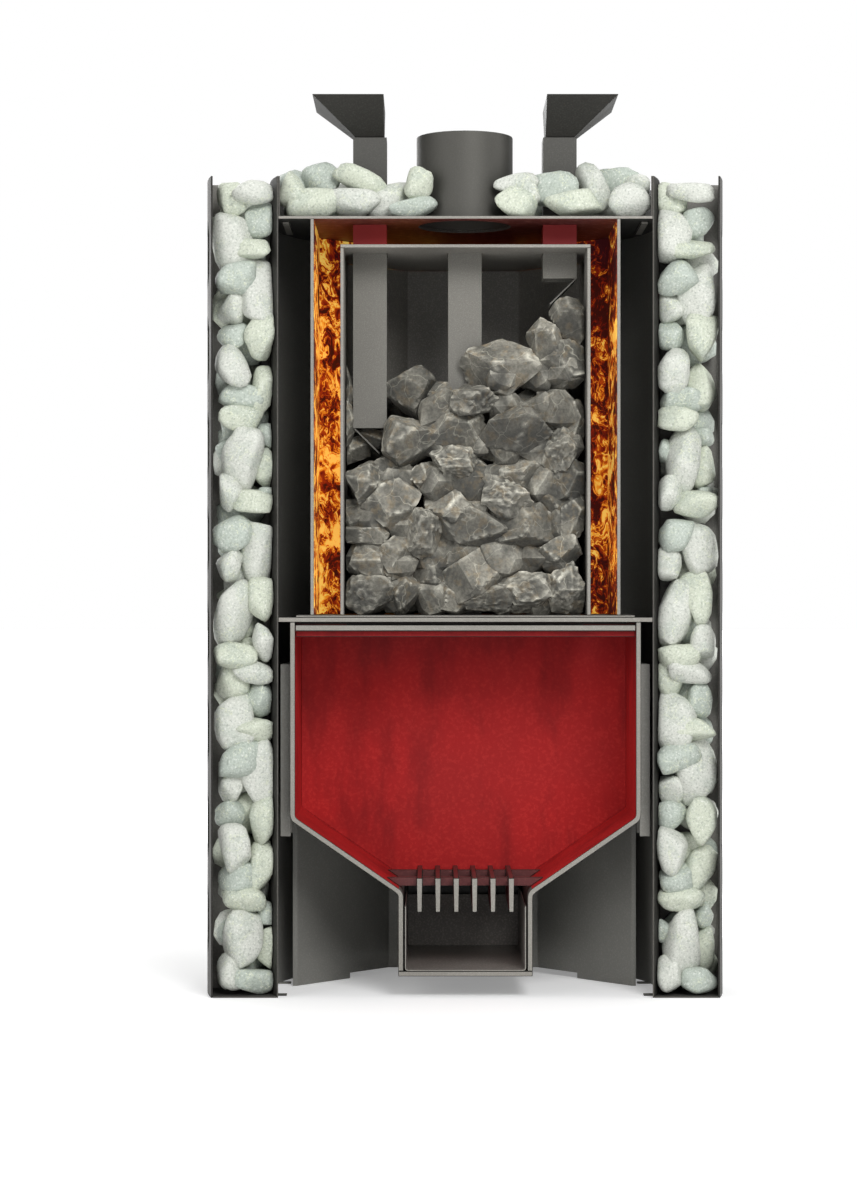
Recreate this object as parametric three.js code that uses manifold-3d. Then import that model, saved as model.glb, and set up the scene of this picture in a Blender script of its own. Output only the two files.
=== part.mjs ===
// A round wood-burning sauna heater, shown in section: everything in front of one upright plane is
// cut away, and what stands behind that plane is whole. Millimetres, +Z up. X runs across the
// section, Y runs away from the viewer, and Z = 0 is the floor.
import * as THREE from 'three';
import { mergeVertices } from 'three/addons/utils/BufferGeometryUtils.js';
import { ConvexGeometry } from 'three/addons/geometries/ConvexGeometry.js';
import Module from 'manifold-3d';

// Fits
const FIT = 0.3;                 // gap between pieces that touch
const OVERLAP = 1;               // how far fused features sink into each other, and cuts run past

// Section and stone jacket
const SECTION = 74;              // section plane, ahead of the heater's axis
const JACKET_HEIGHT = 962;
const JACKET_CHANNEL = 72.2;     // room for stones between the two skins
const SCREEN_SHEET = 2;          // outer skin
const CASING_SHEET = 1.5;        // inner skin
const WARM_AIR_GAP = 34.3;       // from the heater body's back to the inner skin
const JACKET_FLOOR_SHEET = 1.5;
const END_PLATE_SHEET = 1.5;
const FLOOR_NOTCH = 9;           // relief notch in the jacket floor, by the end plate
const TAB_REACH = 14;            // floor tabs bent in from the casing
const TAB_WIDTH = 12;
const TAB_FROM_AXIS = 51;
const FRONT_STEPS = 4;           // facets of a front skin
const REAR_STEPS = 20;           // facets of a rear skin
const BEND_STEPS = 3;            // facets of a bend in a sheet

// Windows in the jacket's outer skin
const WINDOW_PITCH = 112;
const WINDOW_ROWS = 8;
const WINDOW_HEIGHT = 80;
const WINDOW_CORNER = 16;
const FRONT_WINDOW_WIDTH = 42;
const REAR_WINDOW_WIDTH = 92;
const REAR_WINDOW_COLUMNS = 5;

// Top tray and flue
const TRAY_DEPTH = 47;           // below the jacket's top
const TRAY_FLOOR_PLATE = 3;
const TRAY_WALL_SHEET = 1.5;
const FLUE_DIAMETER = 115;
const FLUE_WALL = 2;
const FLUE_RISE = 103;           // above the tray's floor
const FLUE_STEPS = 28;
const RAIL_WIDTH = 9;            // flat rails under the tray, in the warm-air gap
const RAIL_THICK = 2.7;
const RAIL_LENGTH = 98;
const RAIL_FROM_CASING = 19.8;   // from the casing to the rail's middle

// Water feed
const TUBE_SIZE = 40;            // square tube, outside
const TUBE_WALL = 2;
const TUBE_FROM_AXIS = 113;
const TUBE_RISE = 101;           // above the tray's floor
const LEFT_TUBE_DROP = 208;      // below the stone chamber's lid
const RIGHT_TUBE_DROP = 30;
const TONGUE_REACH = 31;         // splash tongue, bent down at 45 degrees
const FUNNEL_SHEET = 1.5;
const FUNNEL_NECK = 34;
const FUNNEL_NECK_DEPTH = 30;
const FUNNEL_RISE = 44;          // above the tube
const FUNNEL_MOUTH_DEPTH = 125;
const FUNNEL_MOUTH_WIDTH = 84;

// Heater body: the stone chamber inside, the fire jacket's shell around it
const CHAMBER_HALF_WIDTH = 146.5;
const CHAMBER_REAR = 162;
const CHAMBER_REAR_FLAT = 143;
const SHELL_GAP = 35;            // from the chamber's outside to the body shell's outside
const SHELL_PLATE = 4;
const SHELL_BEND = 4;
const SMOKE_GAP = 30;            // from the chamber's lid up to the tray
const CHAMBER_LID_PLATE = 4;
const CHAMBER_BASE_TOP = 448;
const CHAMBER_BASE_PLATE = 2.7;
const CHAMBER_BASE_HALF_WIDTH = 198.5;
const ROOF_PLATE = 5;
const GAS_SLOT_WIDTH = 24;
const GAS_SLOT_LENGTH = 120;
const GAS_SLOT_CENTRE = 20;      // behind the axis

// Firebox and ash chamber
const FIREBOX_HALF_WIDTH = 199.5;  // inside
const FIREBOX_REAR = 90;           // inside, behind the axis
const FIREBOX_PLATE = 6;
const FIREBOX_BEND = 6;
const HOPPER_SLOPE = THREE.MathUtils.degToRad(34.5);
const THROAT_HALF_WIDTH = 72.7;
const THROAT_HEIGHT = 124;
const ASH_FLOOR_BOTTOM = 25;
const ASH_REAR = 176;              // outside of the ash duct, behind the axis
const DUCT_DROP = 1;               // from the hopper's throat down to the ash duct's top
const BAFFLE_THICK = 7;
const BAFFLE_GAP = 3.6;            // from the baffle up to the roof
const BAFFLE_BAR_DEPTH = 36;
const BAFFLE_LENGTH = 134;
const BAFFLE_HALF_WIDTH = 142;
const BAFFLE_LIP = 7;
const BAFFLE_LIP_THICK = 6;
const BAFFLE_LIP_SETBACK = 8;
const LEDGE_WIDTH = 10;
const LEDGE_DEPTH = 12;
const LEDGE_THICK = 6;
const FIN_THICK = 3;
const FIN_REACH = 12;
const FIN_BOTTOM = 187;
const FIN_TOP = 390;
const FIN_PITCH = 48;
const FIN_COUNT = 3;

// Grate and ash pan
const GRATE_BARS = 6;
const GRATE_PITCH = 21.5;
const GRATE_BAR_WIDTH = 6;
const GRATE_BAR_FOOT = 4.6;        // the bars taper towards the ash
const GRATE_BOTTOM = 100;
const GRATE_TOP = 140;
const GRATE_LENGTH = 160;
const CROSS_BAR_BOTTOM = 128;
const CROSS_BAR_TOP = 138;
const CROSS_BAR_THICK = 10;
const CROSS_BAR_FROM_ENDS = 34;
const PAN_HALF_WIDTH = 71;
const PAN_SHEET = 1.5;
const PAN_BEND = 2;
const PAN_SIDE_TOP = 107;
const PAN_BACK_TOP = 97;
const PAN_REAR = 159;

// Legs: a folded sheet from the warm-air gap to the ash duct
const LEG_SHEET = 3;
const LEG_BEND = 3;
const LEG_OUTER = 202;             // outer edge of the foot, from the middle
const LEG_OUTER_DEPTH = 28;
const LEG_INNER = 93;
const LEG_INNER_DEPTH = 148;
const LEG_LIP = 5;
const LEG_NOTCH_FROM = 140;
const LEG_NOTCH_HEIGHT = 6.6;

// Stones
const PEBBLE_SPREAD = 0.2;            // how much the stones of one pile differ in size
const PEBBLE_TILT = 0.9;              // and in how they lie, in radians
const PEBBLE_TURN = 0.7;
const JACKET_PEBBLE = [32, 30, 29];   // half sizes across, deep and high
const JACKET_PEBBLE_PITCH = 44;
const JACKET_PEBBLE_SWAY = 8;
const REAR_PEBBLE = [46, 34, 36];
const REAR_BED_THICK = 30;
const TRAY_PEBBLE = [40, 38, 26];
const TRAY_RINGS = [95, 148, 202];
const TRAY_PEBBLE_SPACING = 66;
const TRAY_LAYER = 22;
const REAR_PEBBLE_SETBACK = 44;       // from the screen in to the middle of a rear stone
const ROCK_SIZE = 37;
const ROCK_SPREAD = [0.75, 1.1];
const ROCK_PITCH = 50;
const ROCK_ROW = 65;
const ROCK_SEAT = 26;                 // height of the lowest rocks' middles over the chamber's base
const ROCK_SHIFT = 8;
const ROCK_CORNERS = 11;
const ROCK_DROP_LEFT = 188;           // from the chamber's lid down to the rock pile, at its two sides
const ROCK_DROP_RIGHT = 63;
const TUBE_POCKET = 4;                // room kept free of stones round the tubes
const STONE_CLEARANCE = 0.6;          // from stones to the walls that hold them
const SEEDS = { jacket: [3, 7], rear: 11, tray: [17, 23], rocks: 29 };

// Heights and places that follow from those sizes
const CASING_INNER = CHAMBER_REAR + SHELL_GAP + WARM_AIR_GAP;
const CASING_RADIUS = CASING_INNER + CASING_SHEET;
const SCREEN_INNER = CASING_RADIUS + JACKET_CHANNEL;
const SCREEN_RADIUS = SCREEN_INNER + SCREEN_SHEET;
const SEAM = Math.asin(FIT / CASING_INNER);
const TRAY_RADIUS = CASING_INNER - FIT;
const TRAY_FLOOR_TOP = JACKET_HEIGHT - TRAY_DEPTH;
const TRAY_FLOOR_BOTTOM = TRAY_FLOOR_TOP - TRAY_FLOOR_PLATE;
const FLUE_TOP = TRAY_FLOOR_TOP + FLUE_RISE;
const FLUE_RADIUS = FLUE_DIAMETER / 2;
const RAIL_FROM_AXIS = CASING_INNER - RAIL_FROM_CASING;
const TUBE_TOP = TRAY_FLOOR_TOP + TUBE_RISE;
const FUNNEL_TOP = TUBE_TOP + FUNNEL_RISE;
const TUBE_BORE = TUBE_SIZE - 2 * TUBE_WALL;
const CHAMBER_BASE_BOTTOM = CHAMBER_BASE_TOP - CHAMBER_BASE_PLATE;
const CHAMBER_LID_TOP = TRAY_FLOOR_BOTTOM - SMOKE_GAP;
const CHAMBER_LID_BOTTOM = CHAMBER_LID_TOP - CHAMBER_LID_PLATE;
const TUBE_BOTTOMS = [LEFT_TUBE_DROP, RIGHT_TUBE_DROP].map((drop) => CHAMBER_LID_BOTTOM - drop);
const ROOF_TOP = CHAMBER_BASE_BOTTOM - FIT;
const ROOF_BOTTOM = ROOF_TOP - ROOF_PLATE;
const ASH_FLOOR_TOP = ASH_FLOOR_BOTTOM + FIREBOX_PLATE;
const ASH_OUTER = THROAT_HALF_WIDTH + FIREBOX_PLATE;
const FIREBOX_OUTER = FIREBOX_HALF_WIDTH + FIREBOX_PLATE;
const BAFFLE_TOP = ROOF_BOTTOM - BAFFLE_GAP;
const BAFFLE_BOTTOM = BAFFLE_TOP - BAFFLE_THICK;
const FRONT = -SECTION;
const AXIS_Y = (SECTION - SCREEN_RADIUS) / 2;
const SIDES = [['left', -1], ['right', 1]];

const wasm = await Module();
wasm.setup();

const STEEL = { color: 0x383732, roughness: 0.62, metalness: 0.55 };
const FIRE_STEEL = { color: 0x5c1d1b, roughness: 0.7, metalness: 0.35 };
const TUBE_STEEL = { color: 0x77756f, roughness: 0.55, metalness: 0.6 };
const CAST_IRON = { color: 0x6f6c68, roughness: 0.8, metalness: 0.5 };
const PEBBLE = { color: 0xc8d0c6, roughness: 0.55, metalness: 0 };
const ROCK = { color: 0x827f76, roughness: 0.85, metalness: 0 };

const heater = new THREE.Group();
heater.position.y = AXIS_Y;

function add(name, geometry, finish) {
  const mesh = new THREE.Mesh(geometry, new THREE.MeshStandardMaterial(finish));
  mesh.name = name;
  heater.add(mesh);
}

// Joins and cuts

function toSolid(geometry) {
  const bare = geometry.clone();
  bare.deleteAttribute('normal');
  bare.deleteAttribute('uv');
  const merged = mergeVertices(bare);
  return new wasm.Manifold(new wasm.Mesh({
    numProp: 3,
    vertProperties: merged.attributes.position.array,
    triVerts: new Uint32Array(merged.index.array),
  }));
}

function toGeometry(solid) {
  const { vertProperties, triVerts } = solid.getMesh();
  const geometry = new THREE.BufferGeometry();
  geometry.setAttribute('position', new THREE.BufferAttribute(vertProperties, 3));
  geometry.setIndex(new THREE.BufferAttribute(triVerts, 1));
  return geometry;
}

function fuse(geometries) {
  return geometries.map(toSolid).reduce((whole, piece) => whole.add(piece));
}

function cut(geometry, cutters) {
  return toGeometry(toSolid(geometry).subtract(fuse(cutters)));
}

// Shapes

function shapeOf(points, holes = []) {
  const shape = new THREE.Shape(points);
  shape.holes = holes.map((hole) => new THREE.Path(hole));
  return shape;
}

// An outline in plan, raised from one height to another
function prism(points, bottom, top, holes) {
  const options = { depth: top - bottom, bevelEnabled: false };
  return new THREE.ExtrudeGeometry(shapeOf(points, holes), options).translate(0, 0, bottom);
}

// A flat plate with holes cut through it
function plate(points, bottom, top, holes) {
  return cut(prism(points, bottom, top), holes.map((hole) => prism(hole, bottom - OVERLAP, top + OVERLAP)));
}

// An outline seen from the front, run back from one depth to another
function slab(points, near, far) {
  const options = { depth: far - near, bevelEnabled: false };
  const geometry = new THREE.ExtrudeGeometry(shapeOf(points), options);
  return geometry.rotateX(Math.PI / 2).translate(0, far, 0);
}

function block(x0, x1, y0, y1, z0, z1) {
  const geometry = new THREE.BoxGeometry(Math.abs(x1 - x0), y1 - y0, z1 - z0);
  return geometry.translate((x0 + x1) / 2, (y0 + y1) / 2, (z0 + z1) / 2);
}

function rectangle(x, y, width, depth) {
  const corners = [[-1, -1], [1, -1], [1, 1], [-1, 1]];
  return corners.map(([i, j]) => new THREE.Vector2(x + i * width / 2, y + j * depth / 2));
}

function circle(radius, steps) {
  return Array.from({ length: steps }, (_, i) => polar(radius, 2 * Math.PI * i / steps));
}

function polar(radius, angle) {
  return new THREE.Vector2(radius * Math.cos(angle), radius * Math.sin(angle));
}

function mirrored(points, side) {
  return points.map((point) => new THREE.Vector2(side * point.x, point.y));
}

function arc(radius, from, to, steps) {
  return Array.from({ length: steps + 1 }, (_, i) => polar(radius, from + (to - from) * i / steps));
}

// Arcs of a round skin: its front stretch runs from the section plane to the seam at the axis, and
// its rear stretch from seam to seam
function frontArc(radius) {
  return arc(radius, -Math.asin(SECTION / radius), -SEAM, FRONT_STEPS);
}

function rearArc(radius) {
  return arc(radius, SEAM, Math.PI - SEAM, REAR_STEPS);
}

function wholeArc(radius) {
  const front = frontArc(radius);
  return [...front, ...rearArc(radius), ...mirrored(front, -1).reverse()];
}

function skin(run, outer, inner) {
  return [...run(outer), ...run(inner).reverse()];
}

// One face of a sheet bent along a path. The sheet lies to the left of the path, and offset runs
// from 0 on the path's own face to the thickness on its far face
function sheetFace(path, offset, thickness, bend) {
  const points = path.map(([x, y]) => new THREE.Vector2(x, y));
  const runs = points.slice(1).map((point, i) => point.clone().sub(points[i]).normalize());
  const left = runs.map((run) => new THREE.Vector2(-run.y, run.x));
  const last = points.length - 1;
  const face = [points[0].clone().addScaledVector(left[0], offset)];
  for (let i = 1; i < last; i += 1) {
    const turn = Math.atan2(runs[i - 1].cross(runs[i]), runs[i - 1].dot(runs[i]));
    const radius = turn < 0 ? bend + offset : bend + thickness - offset;
    const middle = left[i - 1].clone().add(left[i]).normalize();
    const corner = points[i].clone().addScaledVector(middle, offset / Math.cos(turn / 2));
    const centre = corner.addScaledVector(middle, Math.sign(turn) * radius / Math.cos(turn / 2));
    const start = Math.atan2(-Math.sign(turn) * left[i - 1].y, -Math.sign(turn) * left[i - 1].x);
    face.push(...arc(radius, start, start + turn, BEND_STEPS).map((point) => point.add(centre)));
  }
  face.push(points[last].clone().addScaledVector(left[last - 1], offset));
  return face;
}

function bentSheet(path, thickness, bend) {
  const near = sheetFace(path, 0, thickness, bend);
  return [...near, ...sheetFace(path, thickness, thickness, bend).reverse()];
}

// Stone jacket: two skins with windows in the outer one, a floor between them, and end plates where
// its front half stops at the axis

function windowCutter(angle, height, width) {
  const w = width / 2;
  const h = WINDOW_HEIGHT / 2;
  const c = WINDOW_CORNER;
  const right = [[w, h - c], [w - c, h]];
  const half = [...right.map(([x, y]) => [x, -y]).reverse(), ...right];
  const outline = [...half, ...half.map(([x, y]) => [-x, -y])].map(([x, y]) => new THREE.Vector2(x, y));
  const depth = SCREEN_SHEET + width;
  const geometry = new THREE.ExtrudeGeometry(shapeOf(outline), { depth, bevelEnabled: false });
  const radial = polar(1, angle);
  const across = new THREE.Vector3(-radial.y, radial.x, 0);
  const outward = new THREE.Vector3(radial.x, radial.y, 0);
  const place = new THREE.Matrix4().makeBasis(across, new THREE.Vector3(0, 0, 1), outward);
  place.setPosition(outward.multiplyScalar(SCREEN_INNER - width / 2).setZ(height));
  return geometry.applyMatrix4(place);
}

function windowHeights(shift) {
  const first = (JACKET_HEIGHT - (WINDOW_ROWS - 1) * WINDOW_PITCH) / 2;
  const rows = Array.from({ length: WINDOW_ROWS }, (_, row) => first + (row + shift) * WINDOW_PITCH);
  return rows.filter((height) => height + WINDOW_HEIGHT / 2 < JACKET_HEIGHT - WINDOW_CORNER);
}

function rearWindowPlaces() {
  const places = [];
  for (let column = 1; column <= REAR_WINDOW_COLUMNS; column += 1) {
    const angle = Math.PI * column / (REAR_WINDOW_COLUMNS + 1);
    windowHeights((column % 2) / 2).forEach((height) => places.push([angle, height]));
  }
  return places;
}

function casingTab(side, from) {
  const wall = Math.sqrt(CASING_INNER ** 2 - (TAB_FROM_AXIS + TAB_WIDTH / 2) ** 2);
  const inner = side * (wall - TAB_REACH);
  return block(inner, side * (wall + OVERLAP), from, from + TAB_WIDTH, 0, CASING_SHEET);
}

const frontWindowAngle = -Math.asin(SECTION / SCREEN_RADIUS) / 2;
const channelInner = CASING_RADIUS + FIT;
const channelOuter = SCREEN_INNER - FIT;
for (const [label, side] of SIDES) {
  const screen = prism(mirrored(skin(frontArc, SCREEN_RADIUS, SCREEN_INNER), side), 0, JACKET_HEIGHT);
  const angle = side > 0 ? frontWindowAngle : Math.PI - frontWindowAngle;
  const windows = windowHeights(0).map((height) => windowCutter(angle, height, FRONT_WINDOW_WIDTH));
  add(`front_screen_${label}`, cut(screen, windows), STEEL);

  const casing = prism(mirrored(skin(frontArc, CASING_RADIUS, CASING_INNER), side), 0, JACKET_HEIGHT);
  const tab = casingTab(side, -TAB_FROM_AXIS - TAB_WIDTH / 2);
  add(`front_casing_${label}`, toGeometry(fuse([casing, tab])), STEEL);

  const floor = prism(mirrored(skin(frontArc, channelOuter, channelInner), side), 0, JACKET_FLOOR_SHEET);
  const notches = [channelInner, channelOuter - FLOOR_NOTCH].map((x) =>
    block(side * (x - OVERLAP), side * (x + FLOOR_NOTCH + OVERLAP), -FLOOR_NOTCH, OVERLAP,
      -OVERLAP, JACKET_FLOOR_SHEET + OVERLAP));
  add(`front_jacket_floor_${label}`, cut(floor, notches), STEEL);

  const endPlate = block(side * channelInner, side * channelOuter, -FIT - END_PLATE_SHEET, -FIT,
    JACKET_FLOOR_SHEET + FIT, JACKET_HEIGHT);
  add(`jacket_end_plate_${label}`, endPlate, STEEL);
}

const rearScreen = prism(skin(rearArc, SCREEN_RADIUS, SCREEN_INNER), 0, JACKET_HEIGHT);
const rearWindows = rearWindowPlaces().map(([angle, height]) =>
  windowCutter(angle, height, REAR_WINDOW_WIDTH));
add('rear_screen', cut(rearScreen, rearWindows), STEEL);
const rearCasing = prism(skin(rearArc, CASING_RADIUS, CASING_INNER), 0, JACKET_HEIGHT);
const rearTabs = SIDES.map(([, side]) => casingTab(side, TAB_FROM_AXIS - TAB_WIDTH / 2));
add('rear_casing', toGeometry(fuse([rearCasing, ...rearTabs])), STEEL);
add('rear_jacket_floor', prism(skin(rearArc, channelOuter, channelInner), 0, JACKET_FLOOR_SHEET), STEEL);

// Heater body: octagonal shells bent from plate, open at the section plane

// A floor plate in three pieces, a front half and two rear quarters, which close round the fire tube
function addInPieces(name, points, bottom, top, holes) {
  const whole = toSolid(plate(points, bottom, top, holes));
  const reach = SCREEN_RADIUS;
  const seam = FIT / 2;
  const rooms = {
    front: [-reach, reach, -reach, -seam],
    rear_left: [-reach, -seam, seam, reach],
    rear_right: [seam, reach, seam, reach],
  };
  for (const [label, room] of Object.entries(rooms)) {
    const piece = whole.intersect(toSolid(block(...room, bottom - OVERLAP, top + OVERLAP)));
    add(`${name}_${label}`, toGeometry(piece), STEEL);
  }
}

// Path of a shell's outside, from its front edge on the right, round the back, to the left
function bayPath(halfWidth, rear, rearFlat) {
  const turn = rear - (halfWidth - rearFlat / 2);
  const right = [[halfWidth, FRONT], [halfWidth, turn], [rearFlat / 2, rear]];
  return [...right, ...right.map(([x, y]) => [-x, y]).reverse()];
}

const flatGrowth = 2 * Math.tan(Math.PI / 8);
const chamberPath = bayPath(CHAMBER_HALF_WIDTH, CHAMBER_REAR, CHAMBER_REAR_FLAT);
const bodyPath = bayPath(CHAMBER_HALF_WIDTH + SHELL_GAP, CHAMBER_REAR + SHELL_GAP,
  CHAMBER_REAR_FLAT + SHELL_GAP * flatGrowth);
const baseGrowth = CHAMBER_BASE_HALF_WIDTH - CHAMBER_HALF_WIDTH;
const basePath = bayPath(CHAMBER_BASE_HALF_WIDTH, CHAMBER_REAR + SHELL_GAP + SHELL_PLATE,
  CHAMBER_REAR_FLAT + baseGrowth * flatGrowth);
const bodyOutline = bentSheet(bodyPath, SHELL_PLATE, SHELL_BEND);
const chamberOutline = bentSheet(chamberPath, SHELL_PLATE, SHELL_BEND);
const tubeHole = TUBE_SIZE + 2 * FIT;
const tubeHoles = SIDES.map(([, side]) => rectangle(side * TUBE_FROM_AXIS, 0, tubeHole, tubeHole));
const gasSlotX = CHAMBER_HALF_WIDTH + (SHELL_GAP - SHELL_PLATE) / 2;
const gasHoles = SIDES.map(([, side]) =>
  rectangle(side * gasSlotX, GAS_SLOT_CENTRE, GAS_SLOT_WIDTH, GAS_SLOT_LENGTH));
const fireHole = rectangle(0, 0, tubeHole, tubeHole);
const shellBottom = CHAMBER_BASE_TOP + FIT;

add('body_shell', prism(bodyOutline, shellBottom, TRAY_FLOOR_BOTTOM - FIT), STEEL);
add('chamber_shell', prism(chamberOutline, shellBottom, CHAMBER_LID_BOTTOM - FIT), STEEL);
const lidOutline = sheetFace(chamberPath, 0, SHELL_PLATE, SHELL_BEND);
const lidHoles = [...tubeHoles, fireHole];
add('chamber_lid', plate(lidOutline, CHAMBER_LID_BOTTOM, CHAMBER_LID_TOP, lidHoles), STEEL);
const baseOutline = sheetFace(basePath, 0, SHELL_PLATE, SHELL_BEND);
const floorHoles = [...gasHoles, fireHole];
addInPieces('chamber_base', baseOutline, CHAMBER_BASE_BOTTOM, CHAMBER_BASE_TOP, floorHoles);

// The fire tube runs from the firebox's roof, through the chamber, to its lid
const tubeOutline = rectangle(0, 0, TUBE_SIZE, TUBE_SIZE);
const tubeBore = rectangle(0, 0, TUBE_BORE, TUBE_BORE);
add('fire_tube', prism(tubeOutline, ROOF_BOTTOM, CHAMBER_LID_TOP, [tubeBore]), TUBE_STEEL);

// Top tray with its rim, and the flue collar that stands on it

const flueBore = circle(FLUE_RADIUS - FLUE_WALL, FLUE_STEPS);
add('tray_floor', plate(wholeArc(TRAY_RADIUS), TRAY_FLOOR_BOTTOM, TRAY_FLOOR_TOP,
  [flueBore, ...tubeHoles]), STEEL);
const trayInner = TRAY_RADIUS - TRAY_WALL_SHEET;
add('tray_wall', prism(skin(wholeArc, TRAY_RADIUS, trayInner), TRAY_FLOOR_TOP + FIT, JACKET_HEIGHT), STEEL);
const flueOutline = circle(FLUE_RADIUS, FLUE_STEPS);
add('flue_collar', prism(flueOutline, TRAY_FLOOR_TOP + FIT, FLUE_TOP, [flueBore]), STEEL);
for (const [label, side] of SIDES) {
  const railTop = TRAY_FLOOR_BOTTOM - FIT;
  const inner = RAIL_FROM_AXIS - RAIL_WIDTH / 2;
  add(`tray_rail_${label}`, block(side * inner, side * (inner + RAIL_WIDTH), -RAIL_LENGTH / 2,
    RAIL_LENGTH / 2, railTop - RAIL_THICK, railTop), STEEL);
}

// Water feed: a square tube through tray and lid on each side, its lower end bent into a splash
// tongue, with a lift-out funnel plugged into its top

function waterTube(side, bottom) {
  const outer = TUBE_FROM_AXIS + TUBE_SIZE / 2;
  const tube = prism(rectangle(side * TUBE_FROM_AXIS, 0, TUBE_SIZE, TUBE_SIZE), bottom, TUBE_TOP,
    [rectangle(side * TUBE_FROM_AXIS, 0, TUBE_BORE, TUBE_BORE)]);
  const bevel = TUBE_WALL / Math.SQRT2;
  const tongue = [
    [outer, bottom + TUBE_WALL], [outer, bottom], [outer - TONGUE_REACH, bottom - TONGUE_REACH],
    [outer - TONGUE_REACH - bevel, bottom - TONGUE_REACH + bevel],
    [outer - TUBE_WALL, bottom], [outer - TUBE_WALL, bottom + TUBE_WALL],
  ].map(([x, z]) => new THREE.Vector2(side * x, z));
  return toGeometry(fuse([tube, slab(tongue, -TUBE_BORE / 2, TUBE_BORE / 2)]));
}

// A closed sleeve through rectangular rings, each given by its left, right, half depth and height
function sleeve(rings) {
  const corners = rings.flatMap(([x0, x1, y, z]) => [[x0, -y, z], [x1, -y, z], [x1, y, z], [x0, y, z]]);
  const faces = [];
  rings.forEach((_, ring) => {
    const next = (ring + 1) % rings.length;
    for (let i = 0; i < 4; i += 1) {
      const j = (i + 1) % 4;
      const [a, b, c, d] = [ring * 4 + i, ring * 4 + j, next * 4 + j, next * 4 + i];
      faces.push(a, b, c, a, c, d);
    }
  });
  const geometry = new THREE.BufferGeometry();
  geometry.setAttribute('position', new THREE.Float32BufferAttribute(corners.flat(), 3));
  geometry.setIndex(faces);
  return geometry;
}

function funnel() {
  const seat = TUBE_TOP + FIT;
  const inner = TUBE_FROM_AXIS - FUNNEL_NECK / 2;
  const neck = FUNNEL_NECK / 2;
  const mouth = FUNNEL_MOUTH_DEPTH / 2;
  const outside = [
    [inner, inner + FUNNEL_NECK, neck, seat - FUNNEL_NECK_DEPTH],
    [inner, inner + FUNNEL_NECK, neck, seat],
    [inner, inner + FUNNEL_MOUTH_WIDTH, mouth, FUNNEL_TOP],
  ];
  const inside = outside.map(([x0, x1, y, z]) =>
    [x0 + FUNNEL_SHEET, x1 - FUNNEL_SHEET, y - FUNNEL_SHEET, z]);
  return sleeve([...outside, ...inside.reverse()]);
}

function mirrorGeometry(geometry) {
  const flipped = geometry.clone().scale(-1, 1, 1);
  const faces = flipped.index.array;
  for (let i = 0; i < faces.length; i += 3) {
    [faces[i], faces[i + 1]] = [faces[i + 1], faces[i]];
  }
  return flipped;
}

SIDES.forEach(([label, side], i) => add(`water_tube_${label}`, waterTube(side, TUBE_BOTTOMS[i]), TUBE_STEEL));
add('funnel_left', mirrorGeometry(funnel()), STEEL);
add('funnel_right', funnel(), STEEL);

// Firebox: side plates bent into a hopper over the ash chamber, a back between them and a roof that
// reaches the casing

const bendTop = THROAT_HEIGHT + (FIREBOX_HALF_WIDTH - THROAT_HALF_WIDTH) * Math.tan(HOPPER_SLOPE);
const sidePath = [
  [FIREBOX_HALF_WIDTH, ROOF_BOTTOM - FIT], [FIREBOX_HALF_WIDTH, bendTop],
  [THROAT_HALF_WIDTH, THROAT_HEIGHT], [THROAT_HALF_WIDTH, ASH_FLOOR_TOP + FIT],
];
const sideOutline = bentSheet(sidePath, FIREBOX_PLATE, FIREBOX_BEND);
const fireboxRear = FIREBOX_REAR + FIREBOX_PLATE;
addInPieces('firebox_roof', wholeArc(TRAY_RADIUS), ROOF_BOTTOM, ROOF_TOP, floorHoles);
for (const [label, side] of SIDES) {
  add(`firebox_side_${label}`, slab(mirrored(sideOutline, side), FRONT, fireboxRear), FIRE_STEEL);
}

// The back stands on the ash duct's top, so it follows the side plates' inside only down to there
const ductTop = THROAT_HEIGHT - DUCT_DROP;
const backHalf = sheetFace(sidePath, -FIT, FIREBOX_PLATE, FIREBOX_BEND);
const backProfile = slab([...backHalf, ...mirrored(backHalf, -1).reverse()], FIREBOX_REAR, fireboxRear);
const belowBack = block(-ASH_OUTER, ASH_OUTER, FRONT, ASH_REAR, 0, ductTop + FIT);
add('firebox_back', cut(backProfile, [belowBack]), FIRE_STEEL);

add('ash_floor', block(-ASH_OUTER, ASH_OUTER, FRONT, ASH_REAR, ASH_FLOOR_BOTTOM, ASH_FLOOR_TOP), STEEL);
const ductFront = fireboxRear + FIT;
const ductBottom = ASH_FLOOR_TOP + FIT;
const ductHood = block(-ASH_OUTER, ASH_OUTER, ductFront, ASH_REAR, ductBottom, ductTop);
const ductRoom = block(-THROAT_HALF_WIDTH, THROAT_HALF_WIDTH, ductFront - OVERLAP,
  ASH_REAR - FIREBOX_PLATE, ductBottom - OVERLAP, ductTop - FIREBOX_PLATE);
const lintelHalf = THROAT_HALF_WIDTH - FIT;
const ductLintel = block(-lintelHalf, lintelHalf, FIREBOX_REAR, ductFront + OVERLAP,
  ductTop - FIREBOX_PLATE, ductTop);
const duct = toSolid(ductHood).subtract(toSolid(ductRoom)).add(toSolid(ductLintel));
add('ash_duct', toGeometry(duct), STEEL);

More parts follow.
